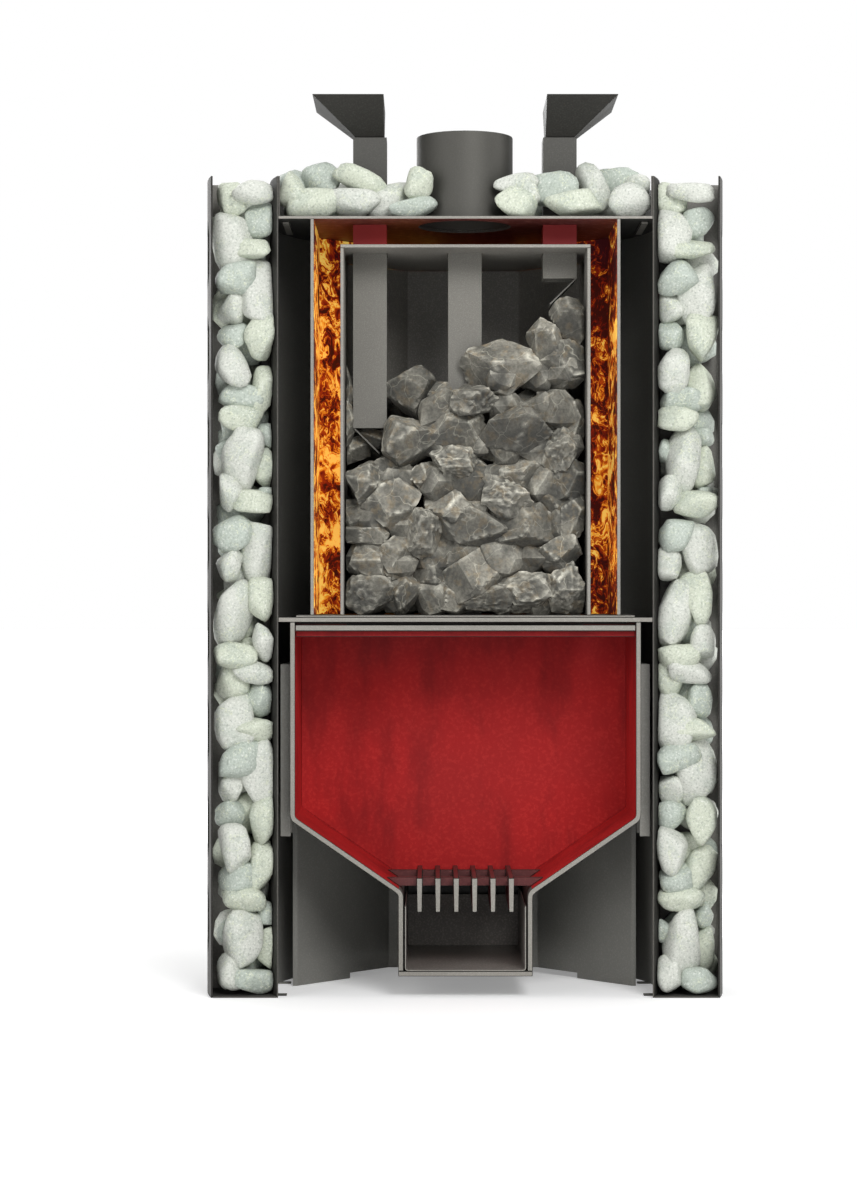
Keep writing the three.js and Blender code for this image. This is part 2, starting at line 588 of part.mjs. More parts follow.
const barHalf = FIREBOX_HALF_WIDTH - FIT;
const barRear = FRONT + BAFFLE_BAR_DEPTH;
const bafflePlan = [
  [barHalf, FRONT], [barHalf, barRear], [BAFFLE_HALF_WIDTH, barRear],
  [BAFFLE_HALF_WIDTH, FRONT + BAFFLE_LENGTH],
].map(([x, y]) => new THREE.Vector2(x, y));
const bafflePlate = prism([...bafflePlan, ...mirrored(bafflePlan, -1).reverse()], BAFFLE_BOTTOM, BAFFLE_TOP);
const lipNear = FRONT + BAFFLE_LIP_SETBACK;
const baffleLip = block(-barHalf, barHalf, lipNear, lipNear + BAFFLE_LIP_THICK,
  BAFFLE_BOTTOM - BAFFLE_LIP, BAFFLE_BOTTOM + OVERLAP);
add('baffle', toGeometry(fuse([bafflePlate, baffleLip])), FIRE_STEEL);

for (const [label, side] of SIDES) {
  const ledgeTop = BAFFLE_BOTTOM - FIT;
  add(`baffle_ledge_${label}`, block(side * (barHalf - LEDGE_WIDTH), side * barHalf,
    barRear - LEDGE_DEPTH, barRear, ledgeTop - LEDGE_THICK, ledgeTop), FIRE_STEEL);
  for (let i = 0; i < FIN_COUNT; i += 1) {
    const y = (i - (FIN_COUNT - 1) / 2) * FIN_PITCH;
    const root = FIREBOX_OUTER + FIT;
    add(`convection_fin_${label}_${i + 1}`, block(side * root, side * (root + FIN_REACH),
      y - FIN_THICK / 2, y + FIN_THICK / 2, FIN_BOTTOM, FIN_TOP), STEEL);
  }
}

// Grate: tapered bars on edge, carried by two cross bars whose ends rest on the hopper's slopes

function grate() {
  const barEnd = FRONT + GRATE_LENGTH;
  const pieces = [];
  for (let i = 0; i < GRATE_BARS; i += 1) {
    const x = (i - (GRATE_BARS - 1) / 2) * GRATE_PITCH;
    const half = [[GRATE_BAR_FOOT / 2, GRATE_BOTTOM], [GRATE_BAR_WIDTH / 2, GRATE_TOP]];
    const outline = [...half, ...half.map(([dx, z]) => [-dx, z]).reverse()];
    pieces.push(slab(outline.map(([dx, z]) => new THREE.Vector2(x + dx, z)), FRONT, barEnd));
  }
  const reach = (z) => THROAT_HALF_WIDTH + (z - THROAT_HEIGHT) / Math.tan(HOPPER_SLOPE)
    - FIT / Math.sin(HOPPER_SLOPE);
  const half = [CROSS_BAR_BOTTOM, CROSS_BAR_TOP].map((z) => new THREE.Vector2(reach(z), z));
  const crossOutline = [...half, ...mirrored(half, -1).reverse()];
  for (const y of [FRONT + CROSS_BAR_FROM_ENDS, barEnd - CROSS_BAR_FROM_ENDS]) {
    pieces.push(slab(crossOutline, y - CROSS_BAR_THICK / 2, y + CROSS_BAR_THICK / 2));
  }
  return toGeometry(fuse(pieces));
}
add('grate', grate(), CAST_IRON);

// Ash pan: a bent tray with a low back, which slides out under the grate
const panBottom = ASH_FLOOR_TOP + FIT;
const panPath = [[-1, PAN_SIDE_TOP], [-1, panBottom], [1, panBottom], [1, PAN_SIDE_TOP]]
  .map(([side, z]) => [side * PAN_HALF_WIDTH, z]);
const panTray = slab(bentSheet(panPath, PAN_SHEET, PAN_BEND), FRONT, PAN_REAR);
const panBackHalf = PAN_HALF_WIDTH - PAN_SHEET / 2;
const panBack = block(-panBackHalf, panBackHalf, PAN_REAR - PAN_SHEET, PAN_REAR,
  panBottom + PAN_SHEET / 2, PAN_BACK_TOP);
add('ash_pan', toGeometry(fuse([panTray, panBack])), STEEL);

// Legs: folded sheets under the hopper, cut along its slope and notched over the floor
function leg(side) {
  const slopeDrop = FIREBOX_PLATE / Math.cos(HOPPER_SLOPE) + FIT / Math.cos(HOPPER_SLOPE);
  const under = (x) => THROAT_HEIGHT + (x - THROAT_HALF_WIDTH) * Math.tan(HOPPER_SLOPE) - slopeDrop;
  const path = [
    [ASH_OUTER + FIT, LEG_INNER_DEPTH], [LEG_INNER, LEG_INNER_DEPTH],
    [LEG_OUTER, LEG_OUTER_DEPTH], [LEG_OUTER + LEG_LIP, LEG_OUTER_DEPTH],
  ];
  const reach = LEG_OUTER + LEG_LIP + LEG_SHEET;
  const sheet = prism(mirrored(bentSheet(path, LEG_SHEET, LEG_BEND), side), 0, bendTop);
  const room = slab([[0, -OVERLAP], [reach, -OVERLAP], [reach, under(reach)], [0, under(0)]]
    .map(([x, z]) => new THREE.Vector2(side * x, z)), FRONT, ASH_REAR);
  const notch = block(0, side * LEG_NOTCH_FROM, FRONT, ASH_REAR, -OVERLAP, LEG_NOTCH_HEIGHT);
  return toGeometry(toSolid(sheet).intersect(toSolid(room)).subtract(toSolid(notch)));
}
for (const [label, side] of SIDES) {
  add(`leg_${label}`, leg(side), STEEL);
}

// Stones: each filling is one pile of rounded pebbles or broken rocks that lean on each other

// Repeatable random numbers between 0 and 1
function seeded(seed) {
  const factor = 16807;
  const modulus = 2147483647;
  let state = seed;
  return () => {
    state = (state * factor) % modulus;
    return state / modulus;
  };
}

function pebble(place, halfSizes, random, form = new THREE.IcosahedronGeometry(1)) {
  const either = () => random() - 0.5;
  const geometry = form.clone();
  geometry.scale(...halfSizes.map((size) => size * (1 + PEBBLE_SPREAD * either())));
  geometry.rotateY(PEBBLE_TILT * either()).rotateZ(PEBBLE_TURN * either());
  return geometry.translate(...place);
}

function rock(place, random) {
  const corners = Array.from({ length: ROCK_CORNERS }, () => {
    const direction = new THREE.Vector3(random() - 0.5, random() - 0.5, random() - 0.5).normalize();
    return direction.multiplyScalar(ROCK_SIZE * THREE.MathUtils.lerp(...ROCK_SPREAD, random()));
  });
  return new ConvexGeometry(corners).translate(...place);
}

function jacketPebbles(side, seed) {
  const random = seeded(seed);
  const smooth = new THREE.OctahedronGeometry(1, 1);
  const middle = (CASING_RADIUS + SCREEN_INNER) / 2;
  const [, deep, high] = JACKET_PEBBLE;
  const bottom = JACKET_FLOOR_SHEET + high;
  const count = Math.floor((JACKET_HEIGHT - high - bottom) / JACKET_PEBBLE_PITCH) + 1;
  const stones = [];
  for (let i = 0; i < count; i += 1) {
    const sway = (i % 2 ? 1 : -1) * JACKET_PEBBLE_SWAY;
    const x = side * middle + sway - side * JACKET_PEBBLE_SWAY / 2;
    const place = [x, FRONT + deep + sway / 2, bottom + i * JACKET_PEBBLE_PITCH];
    stones.push(pebble(place, JACKET_PEBBLE, random, smooth));
  }
  const inner = CASING_RADIUS + STONE_CLEARANCE;
  const room = prism(mirrored(skin(frontArc, SCREEN_INNER - STONE_CLEARANCE, inner), side),
    JACKET_FLOOR_SHEET + FIT, JACKET_HEIGHT);
  const behind = block(-SCREEN_RADIUS, SCREEN_RADIUS, -FIT - END_PLATE_SHEET - STONE_CLEARANCE,
    SCREEN_RADIUS, -OVERLAP, JACKET_HEIGHT + OVERLAP);
  return toGeometry(fuse(stones).intersect(toSolid(room)).subtract(toSolid(behind)));
}

function rearPebbles() {
  const random = seeded(SEEDS.rear);
  const bedOuter = CASING_RADIUS + REAR_BED_THICK;
  const [, , high] = REAR_PEBBLE;
  const bed = prism(skin(rearArc, bedOuter, CASING_RADIUS + STONE_CLEARANCE), JACKET_FLOOR_SHEET + FIT,
    JACKET_HEIGHT - high);
  const stones = rearWindowPlaces().map(([angle, height]) => {
    const stone = pebble([0, 0, 0], REAR_PEBBLE, random).rotateZ(angle - Math.PI / 2);
    const place = polar(SCREEN_INNER - REAR_PEBBLE_SETBACK, angle);
    return stone.translate(place.x, place.y, height);
  });
  const room = prism(skin(rearArc, SCREEN_INNER - STONE_CLEARANCE, CASING_RADIUS + STONE_CLEARANCE),
    JACKET_FLOOR_SHEET + FIT, JACKET_HEIGHT);
  return fuse([bed, ...stones]).intersect(toSolid(room));
}

function trayPebbles(side, seed) {
  const random = seeded(seed);
  const [, deep, high] = TRAY_PEBBLE;
  const stones = [];
  TRAY_RINGS.forEach((radius, ring) => {
    const first = -Math.asin((SECTION - deep) / radius);
    const last = Math.PI / 2 - TRAY_PEBBLE_SPACING / 2 / radius;
    const count = Math.round((last - first) * radius / TRAY_PEBBLE_SPACING);
    for (let i = 0; i <= count; i += 1) {
      const place = polar(radius, first + (last - first) * i / count);
      const layers = (i + ring) % 3 ? 1 : 2;
      for (let layer = 0; layer < layers; layer += 1) {
        const z = TRAY_FLOOR_TOP + high + layer * TRAY_LAYER;
        stones.push(pebble([side * place.x, place.y, z], TRAY_PEBBLE, random));
      }
    }
  });
  const flueRoom = prism(circle(FLUE_RADIUS + STONE_CLEARANCE, FLUE_STEPS), TRAY_FLOOR_BOTTOM, FLUE_TOP);
  const tubeRoom = prism(rectangle(side * TUBE_FROM_AXIS, 0, TUBE_SIZE + 2 * STONE_CLEARANCE,
    TUBE_SIZE + 2 * STONE_CLEARANCE), TRAY_FLOOR_BOTTOM, TUBE_TOP);
  const half = block(side * STONE_CLEARANCE, side * SCREEN_RADIUS, FRONT, SCREEN_RADIUS,
    TRAY_FLOOR_TOP + FIT, FLUE_TOP);
  const disc = prism(wholeArc(trayInner - STONE_CLEARANCE), TRAY_FLOOR_TOP, FLUE_TOP);
  const room = toSolid(half).intersect(toSolid(disc)).subtract(fuse([flueRoom, tubeRoom]));
  return toGeometry(fuse(stones).intersect(room));
}

// The rocks lie heaped up to the right, over a core that fills the chamber behind them
function heaterRocks() {
  const random = seeded(SEEDS.rocks);
  const inner = CHAMBER_HALF_WIDTH - SHELL_PLATE;
  const rear = CHAMBER_REAR - SHELL_PLATE;
  const drop = (x) => THREE.MathUtils.lerp(ROCK_DROP_LEFT, ROCK_DROP_RIGHT, (x + inner) / (2 * inner));
  const top = (x) => CHAMBER_LID_BOTTOM - drop(x);
  const coreDrop = ROCK_SIZE / 2;
  const core = slab([[-inner, shellBottom], [inner, shellBottom], [inner, top(inner) - coreDrop],
    [-inner, top(-inner) - coreDrop]].map(([x, z]) => new THREE.Vector2(x, z)), FRONT + ROCK_SIZE / 2, rear);
  const rocks = [];
  for (let x = ROCK_SIZE - inner; x < inner; x += ROCK_PITCH) {
    for (let z = shellBottom + ROCK_SEAT; z < top(x) - ROCK_SIZE; z += ROCK_PITCH) {
      rocks.push(rock([x + ROCK_SHIFT * (random() - 0.5), FRONT + ROCK_SIZE, z], random));
    }
    for (let y = FRONT + ROCK_SIZE; y < rear; y += ROCK_ROW) {
      rocks.push(rock([x, y, top(x) - ROCK_SIZE + ROCK_SHIFT * random()], random));
    }
  }
  const plan = sheetFace(chamberPath, SHELL_PLATE + STONE_CLEARANCE, SHELL_PLATE, SHELL_BEND);
  const room = prism(plan, shellBottom, CHAMBER_LID_BOTTOM);
  const pocket = TUBE_SIZE + 2 * TUBE_POCKET;
  const tubeRooms = SIDES.map(([, side], i) => prism(rectangle(side * TUBE_FROM_AXIS, 0, pocket, pocket),
    TUBE_BOTTOMS[i] - TONGUE_REACH - TUBE_POCKET, TUBE_TOP));
  const fireRoom = prism(rectangle(0, 0, pocket, pocket), shellBottom - OVERLAP, CHAMBER_LID_TOP);
  const pile = fuse([core, ...rocks]).intersect(toSolid(room));
  return pile.subtract(fuse([...tubeRooms, fireRoom]));
}

// The pile is laid in rows: one ahead of the tubes, one between them on each side, and one behind
const rockPile = heaterRocks();
const rowEdge = TUBE_SIZE / 2 + TUBE_POCKET;
const rockRows = {
  front: [-SCREEN_RADIUS, SCREEN_RADIUS, -SCREEN_RADIUS, -rowEdge - FIT],
  left: [-SCREEN_RADIUS, -FIT, -rowEdge, rowEdge],
  right: [FIT, SCREEN_RADIUS, -rowEdge, rowEdge],
  rear: [-SCREEN_RADIUS, SCREEN_RADIUS, rowEdge + FIT, SCREEN_RADIUS],
};
for (const [label, [x0, x1, y0, y1]] of Object.entries(rockRows)) {
  const pieces = rockPile.intersect(toSolid(block(x0, x1, y0, y1, 0, JACKET_HEIGHT))).decompose();
  const row = pieces.reduce((largest, piece) => (piece.volume() > largest.volume() ? piece : largest));
  add(`heater_rocks_${label}`, toGeometry(row), ROCK);
}

SIDES.forEach(([label, side], i) => {
  add(`jacket_pebbles_${label}`, jacketPebbles(side, SEEDS.jacket[i]), PEBBLE);
  add(`tray_pebbles_${label}`, trayPebbles(side, SEEDS.tray[i]), PEBBLE);
});

// The rear stones lie in three piles, which part midway between two columns of windows
const rearPile = rearPebbles();
const parting = 1.5 * Math.PI / (REAR_WINDOW_COLUMNS + 1);
const rearPiles = {
  right: [0, parting],
  middle: [parting, Math.PI - parting],
  left: [Math.PI - parting, Math.PI],
};
for (const [label, [from, to]] of Object.entries(rearPiles)) {
  const edges = [from + SEAM, to - SEAM].map((turn) => polar(2 * SCREEN_RADIUS, turn));
  const wedge = prism([new THREE.Vector2(), ...edges], 0, JACKET_HEIGHT);
  add(`rear_jacket_pebbles_${label}`, toGeometry(rearPile.intersect(toSolid(wedge))), PEBBLE);
}

export default heater;
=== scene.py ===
import math
import random

import bmesh
import bpy
from mathutils import Euler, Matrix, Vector, noise


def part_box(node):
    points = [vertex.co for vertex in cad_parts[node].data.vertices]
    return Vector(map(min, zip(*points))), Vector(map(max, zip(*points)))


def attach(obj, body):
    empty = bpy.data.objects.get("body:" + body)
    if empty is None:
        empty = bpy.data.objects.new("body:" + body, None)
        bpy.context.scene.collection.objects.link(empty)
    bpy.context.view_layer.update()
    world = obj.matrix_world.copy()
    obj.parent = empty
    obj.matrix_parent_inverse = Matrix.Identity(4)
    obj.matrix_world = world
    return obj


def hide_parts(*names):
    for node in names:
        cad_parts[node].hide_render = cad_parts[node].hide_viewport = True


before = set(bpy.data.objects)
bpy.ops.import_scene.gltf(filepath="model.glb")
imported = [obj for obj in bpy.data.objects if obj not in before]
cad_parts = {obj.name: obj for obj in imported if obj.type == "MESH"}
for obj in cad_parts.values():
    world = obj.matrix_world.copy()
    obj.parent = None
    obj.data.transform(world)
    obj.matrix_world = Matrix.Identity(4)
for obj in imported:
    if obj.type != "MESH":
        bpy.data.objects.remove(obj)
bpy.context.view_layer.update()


# Studio: a pale floor, broad soft lamps and a level camera that faces the section squarely.
# None of it belongs to the heater.
scene = bpy.context.scene
scene.view_settings.view_transform = "Standard"
SECTION_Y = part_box("baffle")[0].y
SECTION_AHEAD = 0.074
AXIS_Y = SECTION_Y + SECTION_AHEAD
CAMERA_AHEAD = 3.276
CAMERA_ASIDE = -0.0433
CAMERA_HEIGHT = 0.465
CAMERA_LENS = 83.9
ROOM_LIGHT = 0.42
WHITE = (1, 1, 1, 1)
FLOOR_GREY = (0.86, 0.86, 0.86, 1)
FLOOR_HALF = 40
FLOOR_DROP = 0.0004
LAMP_AIM = Vector((0, AXIS_Y, 0.55))
# Place, width and power of each lamp
LAMPS = {
    "key_lamp": ((0.9, SECTION_Y - 2.6, 2.3), 1.6, 70.0),
    "fill_lamp": ((-2.2, SECTION_Y - 1.9, 1.4), 2.0, 18.0),
    "side_lamp": ((2.7, SECTION_Y + 0.1, 0.95), 1.2, 20.0),
    "top_lamp": ((0.2, AXIS_Y + 0.3, 2.9), 1.8, 14.0),
    "rear_lamp": ((-1.2, AXIS_Y + 2.6, 1.9), 2.0, 36.0),
}


def plug(tree, node, **sockets):
    """Fills a node's sockets, _0, _1 ... by number and the others by name, with a link or a value."""
    for key, value in sockets.items():
        socket = node.inputs[int(key[1:]) if key[0] == "_" else key.replace("_", " ")]
        if isinstance(value, bpy.types.NodeSocket):
            tree.links.new(value, socket)
        else:
            socket.default_value = value


def put(tree, kind, **settings):
    """Adds a node. Settings in lower case are properties of the node; the others fill its sockets."""
    node = tree.nodes.new(kind if kind.startswith("Node") else "ShaderNode" + kind)
    sockets = {}
    for key, value in settings.items():
        if key[0].islower():
            setattr(node, key, value)
        else:
            sockets[key] = value
    plug(tree, node, **sockets)
    return node


def worked_out(tree, operation, *values):
    """What a Math node makes of its values."""
    sockets = {f"_{number}": value for number, value in enumerate(values)}
    return put(tree, "Math", operation=operation, **sockets).outputs[0]


def own_place(tree):
    """Where a point lies in the axes of its own piece, in metres."""
    return put(tree, "TexCoord").outputs["Object"]


def blank(name):
    """A new material, its node tree and its Principled node."""
    material = bpy.data.materials.new(name)
    material.use_nodes = True
    return material, material.node_tree, material.node_tree.nodes["Principled BSDF"]


def seen_rays(tree):
    """1 for rays that show a surface to the camera, also in a mirror or through glass."""
    path = put(tree, "LightPath").outputs
    direct = worked_out(tree, "MAXIMUM", path["Is Camera Ray"], path["Is Glossy Ray"])
    return worked_out(tree, "MAXIMUM", direct, path["Is Transmission Ray"])


def place_lamp(name, spot, width, power):
    lamp = bpy.data.objects.new(name, bpy.data.lights.new(name, "AREA"))
    lamp.data.shape = "DISK"
    lamp.data.size = width
    lamp.data.energy = power
    lamp.location = spot
    aim = LAMP_AIM - Vector(spot)
    lamp.rotation_euler = aim.to_track_quat("-Z", "Y").to_euler()
    scene.collection.objects.link(lamp)


camera = bpy.data.objects.new("camera", bpy.data.cameras.new("camera"))
camera.data.lens = CAMERA_LENS
camera.location = (CAMERA_ASIDE, SECTION_Y - CAMERA_AHEAD, CAMERA_HEIGHT)
camera.rotation_euler = (math.pi / 2, 0, 0)
scene.collection.objects.link(camera)
scene.camera = camera
for lamp_name, lamp_values in LAMPS.items():
    place_lamp(lamp_name, *lamp_values)

scene.world = bpy.data.worlds.new("studio_air")
scene.world.use_nodes = True
air = scene.world.node_tree
air_light = worked_out(air, "MULTIPLY_ADD", seen_rays(air), 1 - ROOM_LIGHT, ROOM_LIGHT)
plug(air, air.nodes["Background"], Strength=air_light, Color=WHITE)

floor_paint, tree, skin = blank("pale_floor")
from_middle = put(tree, "VectorMath", operation="LENGTH", _0=own_place(tree)).outputs["Value"]
fade = put(tree, "MapRange", Value=from_middle, From_Min=0.5, From_Max=3.5, To_Min=0.26, To_Max=1.0)
floor_glow = worked_out(tree, "MULTIPLY", seen_rays(tree), fade.outputs[0])
plug(tree, skin, Base_Color=FLOOR_GREY, Roughness=0.9, Emission_Color=WHITE, Emission_Strength=floor_glow)
floor_mesh = bpy.data.meshes.new("studio_floor")
floor_corners = [(x * FLOOR_HALF, y * FLOOR_HALF, 0) for x, y in ((-1, -1), (1, -1), (1, 1), (-1, 1))]
floor_mesh.from_pydata(floor_corners, [], [(0, 1, 2, 3)])
floor_mesh.materials.append(floor_paint)
studio_floor = bpy.data.objects.new("studio_floor", floor_mesh)
studio_floor.location.z = -FLOOR_DROP
scene.collection.objects.link(studio_floor)


# Stone jacket: two half-round cassettes of dark painted sheet, with windows cut into the outer skin.
# The front pieces end on the section plane, where the cut edge of the sheet shows.
SIDES = {"left": -1, "right": 1}
EDGE_ROUNDING = 0.0004
RIM_WIDTH = 0.0007
EDGE_ANGLE = math.radians(32)
WELD_WITHIN = 0.00002
SECTION_SLACK = 0.0005
SURFACE = {"Colour": "Color", "Roughness": "Float", "Height": "Float"}


def colour(red, green, blue):
    """A surface colour as it looks on screen, 0 to 255."""
    shares = [value / 255 for value in (red, green, blue)]
    linear = [s / 12.92 if s <= 0.04045 else ((s + 0.055) / 1.055) ** 2.4 for s in shares]
    return (*linear, 1.0)


def mixed(tree, share, first, second, blend="MIX"):
    return put(tree, "Mix", data_type="RGBA", blend_type=blend, _0=share, _6=first, _7=second).outputs[2]


def between(tree, value, low, high, start=0.0, end=1.0):
    """A smooth step of a value from start at low to end at high."""
    return put(tree, "MapRange", interpolation_type="SMOOTHSTEP", Value=value, From_Min=low, From_Max=high,
               To_Min=start, To_Max=end).outputs[0]


def grain(tree, place, scale, detail=2.0, roughness=0.5):
    return put(tree, "TexNoise", Vector=place, Scale=scale, Detail=detail, Roughness=roughness).outputs[0]


def effect(name, inputs, outputs):
    """An empty shader group with named sockets: its tree, what comes in and its output node."""
    tree = bpy.data.node_groups.new(name, "ShaderNodeTree")
    for label, kind in inputs.items():
        tree.interface.new_socket(label, in_out="INPUT", socket_type="NodeSocket" + kind)
    for label, kind in outputs.items():
        tree.interface.new_socket(label, in_out="OUTPUT", socket_type="NodeSocket" + kind)
    return tree, put(tree, "NodeGroupInput").outputs, put(tree, "NodeGroupOutput")


paint_grain, given, result = effect(
    "paint_grain", {"Colour": "Color", "Fleck": "Color", "Grain": "Float", "Amount": "Float"}, SURFACE
)
spot = own_place(paint_grain)
fine = grain(paint_grain, spot, given["Grain"], 2.0, 0.6)
cloud = grain(paint_grain, spot, 6.0, 3.0)
flecks = worked_out(paint_grain, "MULTIPLY", between(paint_grain, fine, 0.46, 0.7), given["Amount"])
flecked = mixed(paint_grain, flecks, given["Colour"], given["Fleck"])
shade = between(paint_grain, cloud, 0.3, 0.7, 0.88, 1.1)
clouded = mixed(paint_grain, 1.0, flecked, shade, "MULTIPLY")
sheen = between(paint_grain, cloud, 0.3, 0.7, 0.5, 0.66)
plug(paint_grain, result, Colour=clouded, Roughness=sheen, Height=fine)


def flecked_paint(tree, base, fleck, scale, amount):
    """The outputs of a finely flecked surface."""
    return put(tree, "Group", node_tree=paint_grain, Colour=colour(*base), Fleck=colour(*fleck),
               Grain=scale, Amount=amount).outputs


def cover(tree, skin, shown, surface, strength, depth):
    """Lays a colour, and the roughness and fine relief of a surface, on a material."""
    relief = put(tree, "Bump", Strength=strength, Distance=depth, Height=surface["Height"]).outputs[0]
    plug(tree, skin, Base_Color=shown, Roughness=surface["Roughness"], Normal=relief)


def steel(name, base, fleck, scale=520.0, amount=0.6, metallic=0.0, gloss=0.5):
    """Sheet or plate with a fine grain: paint, or the bare cut of the section."""
    material, tree, skin = blank(name)
    surface = flecked_paint(tree, base, fleck, scale, amount)
    cover(tree, skin, surface["Colour"], surface, 0.12, 0.0006)
    plug(tree, skin, Metallic=metallic, Specular_IOR_Level=gloss)
    return material


jacket_paint = steel("jacket_paint", (54, 53, 50), (78, 77, 73), gloss=0.4)
jacket_lining = steel("jacket_lining", (46, 45, 43), (68, 67, 63), gloss=0.1)
channel_paint = steel("channel_paint", (108, 106, 101), (126, 124, 118))
air_gap_paint = steel("air_gap_paint", (126, 125, 120), (144, 143, 137))
cut_sheet = steel("cut_sheet", (76, 74, 70), (102, 100, 94), gloss=0.2)
cut_plate = steel("cut_plate", (134, 131, 124), (160, 157, 149), scale=700.0, amount=0.5, metallic=0.1)
rim_scale = steel("rim_scale", (44, 43, 40), (58, 57, 53), gloss=0.1)


def on_section(middle, normal):
    return normal.y < -0.99 and middle.y < SECTION_Y + SECTION_SLACK


def dress(name, finishes, pick=None):
    """Gives a node its finishes and eased edges, which are dark rims on cut plate. Pick chooses a finish
    for a face by the face's middle and normal; without it the second one goes on the section."""
    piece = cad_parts[name]
    mesh = piece.data
    mesh.materials.clear()
    for finish in finishes:
        mesh.materials.append(finish)
    if "custom_normal" in mesh.attributes:
        mesh.attributes.remove(mesh.attributes["custom_normal"])
    for face in mesh.polygons:
        face.use_smooth = True
        if pick:
            face.material_index = pick(face.center, face.normal)
        else:
            face.material_index = int(len(finishes) > 1 and on_section(face.center, face.normal))
    weld = piece.modifiers.new("joined_edges", "WELD")
    weld.merge_threshold = WELD_WITHIN
    edge = piece.modifiers.new("eased_edges", "BEVEL")
    edge.width = EDGE_ROUNDING
    edge.segments = 2
    edge.limit_method = "ANGLE"
    edge.angle_limit = EDGE_ANGLE
    edge.harden_normals = True
    if cut_plate in finishes:
        mesh.materials.append(rim_scale)
        edge.material = len(finishes)
        edge.width = RIM_WIDTH


def casing_face(middle, normal):
    """For a round skin: 0 outside, 1 inside and 2 on the section."""
    if on_section(middle, normal):
        return 2
    outward = normal.x * middle.x + normal.y * (middle.y - AXIS_Y)
    return 0 if outward > 0 else 1


for label in SIDES:
    dress(f"front_screen_{label}", [jacket_paint, jacket_lining, jacket_lining], casing_face)
    dress(f"front_casing_{label}", [jacket_lining, air_gap_paint, cut_sheet], casing_face)
    dress(f"front_jacket_floor_{label}", [jacket_paint, cut_sheet])
    dress(f"jacket_end_plate_{label}", [channel_paint])
dress("rear_screen", [jacket_paint, jacket_lining, cut_sheet], casing_face)
dress("rear_casing", [channel_paint, air_gap_paint, cut_sheet], casing_face)
dress("rear_jacket_floor", [jacket_paint])


# Stones of the jacket: tumbled pale pebbles, stacked by hand between the two skins. Those at the
# section are whole, and lie in two staggered layers ahead of the end plates.
def off_middle(tree, value):
    """How far a noise is from its middle value, which it has along thin lines."""
    return worked_out(tree, "ABSOLUTE", worked_out(tree, "SUBTRACT", value, 0.5))


def ramp(tree, value, first, last, *others):
    """A colour by value. Each stop is a position and a colour as it looks on screen."""
    node = put(tree, "ValToRGB", Fac=value)
    stops = node.color_ramp.elements
    for number, (position, tint) in enumerate((first, last)):
        stops[number].position = position
        stops[number].color = colour(*tint)
    for position, tint in others:
        stops.new(position).color = colour(*tint)
    return node.outputs[0]


stone_skin, given, result = effect("stone_skin", {"Tone": "Float"}, SURFACE)
spot = own_place(stone_skin)
speckle = grain(stone_skin, spot, 400.0, 3.0, 0.72)
patch = grain(stone_skin, spot, 34.0, 3.0, 0.6)
seam = grain(stone_skin, spot, 58.0, 4.0, 0.6)
body = ramp(stone_skin, given["Tone"], (0.0, (206, 208, 201)), (1.0, (176, 186, 178)), (0.5, (200, 206, 188)))
patches = between(stone_skin, patch, 0.42, 0.66, 0.0, 0.5)
ground = mixed(stone_skin, patches, body, colour(172, 182, 170))
thread = between(stone_skin, off_middle(stone_skin, seam), 0.0, 0.014, 0.75, 0.0)
vein = worked_out(stone_skin, "MULTIPLY", thread, between(stone_skin, patch, 0.45, 0.55))
veined = mixed(stone_skin, vein, ground, colour(222, 226, 196))
dark_dots = between(stone_skin, speckle, 0.52, 0.68, 0.0, 0.6)
dotted = mixed(stone_skin, dark_dots, veined, colour(130, 137, 128))
pale_dots = between(stone_skin, speckle, 0.46, 0.32, 0.0, 0.6)
bright = mixed(stone_skin, pale_dots, dotted, colour(240, 241, 235))
sheen = between(stone_skin, patch, 0.3, 0.7, 0.5, 0.72)
plug(stone_skin, result, Colour=bright, Roughness=sheen, Height=speckle)

pale_stone, tree, skin = blank("pale_stone")
tone = put(tree, "Attribute", attribute_name="stone_tone").outputs["Fac"]
surface = put(tree, "Group", node_tree=stone_skin, Tone=tone).outputs
cover(tree, skin, surface["Colour"], surface, 0.6, 0.0014)

PALE, MOSS, SLATE = 0.08, 0.5, 0.92
TONES = (PALE, MOSS, SLATE)
FRONT_LAYER = 0.0165
BACK_LAYER = 0.030
CHANNEL_MIDDLE = 0.2583
CHANNEL_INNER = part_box("rear_casing")[1].x + 0.001
CHANNEL_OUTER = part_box("rear_screen")[1].x - 0.003
CHANNEL_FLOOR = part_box("rear_jacket_floor")[1].z
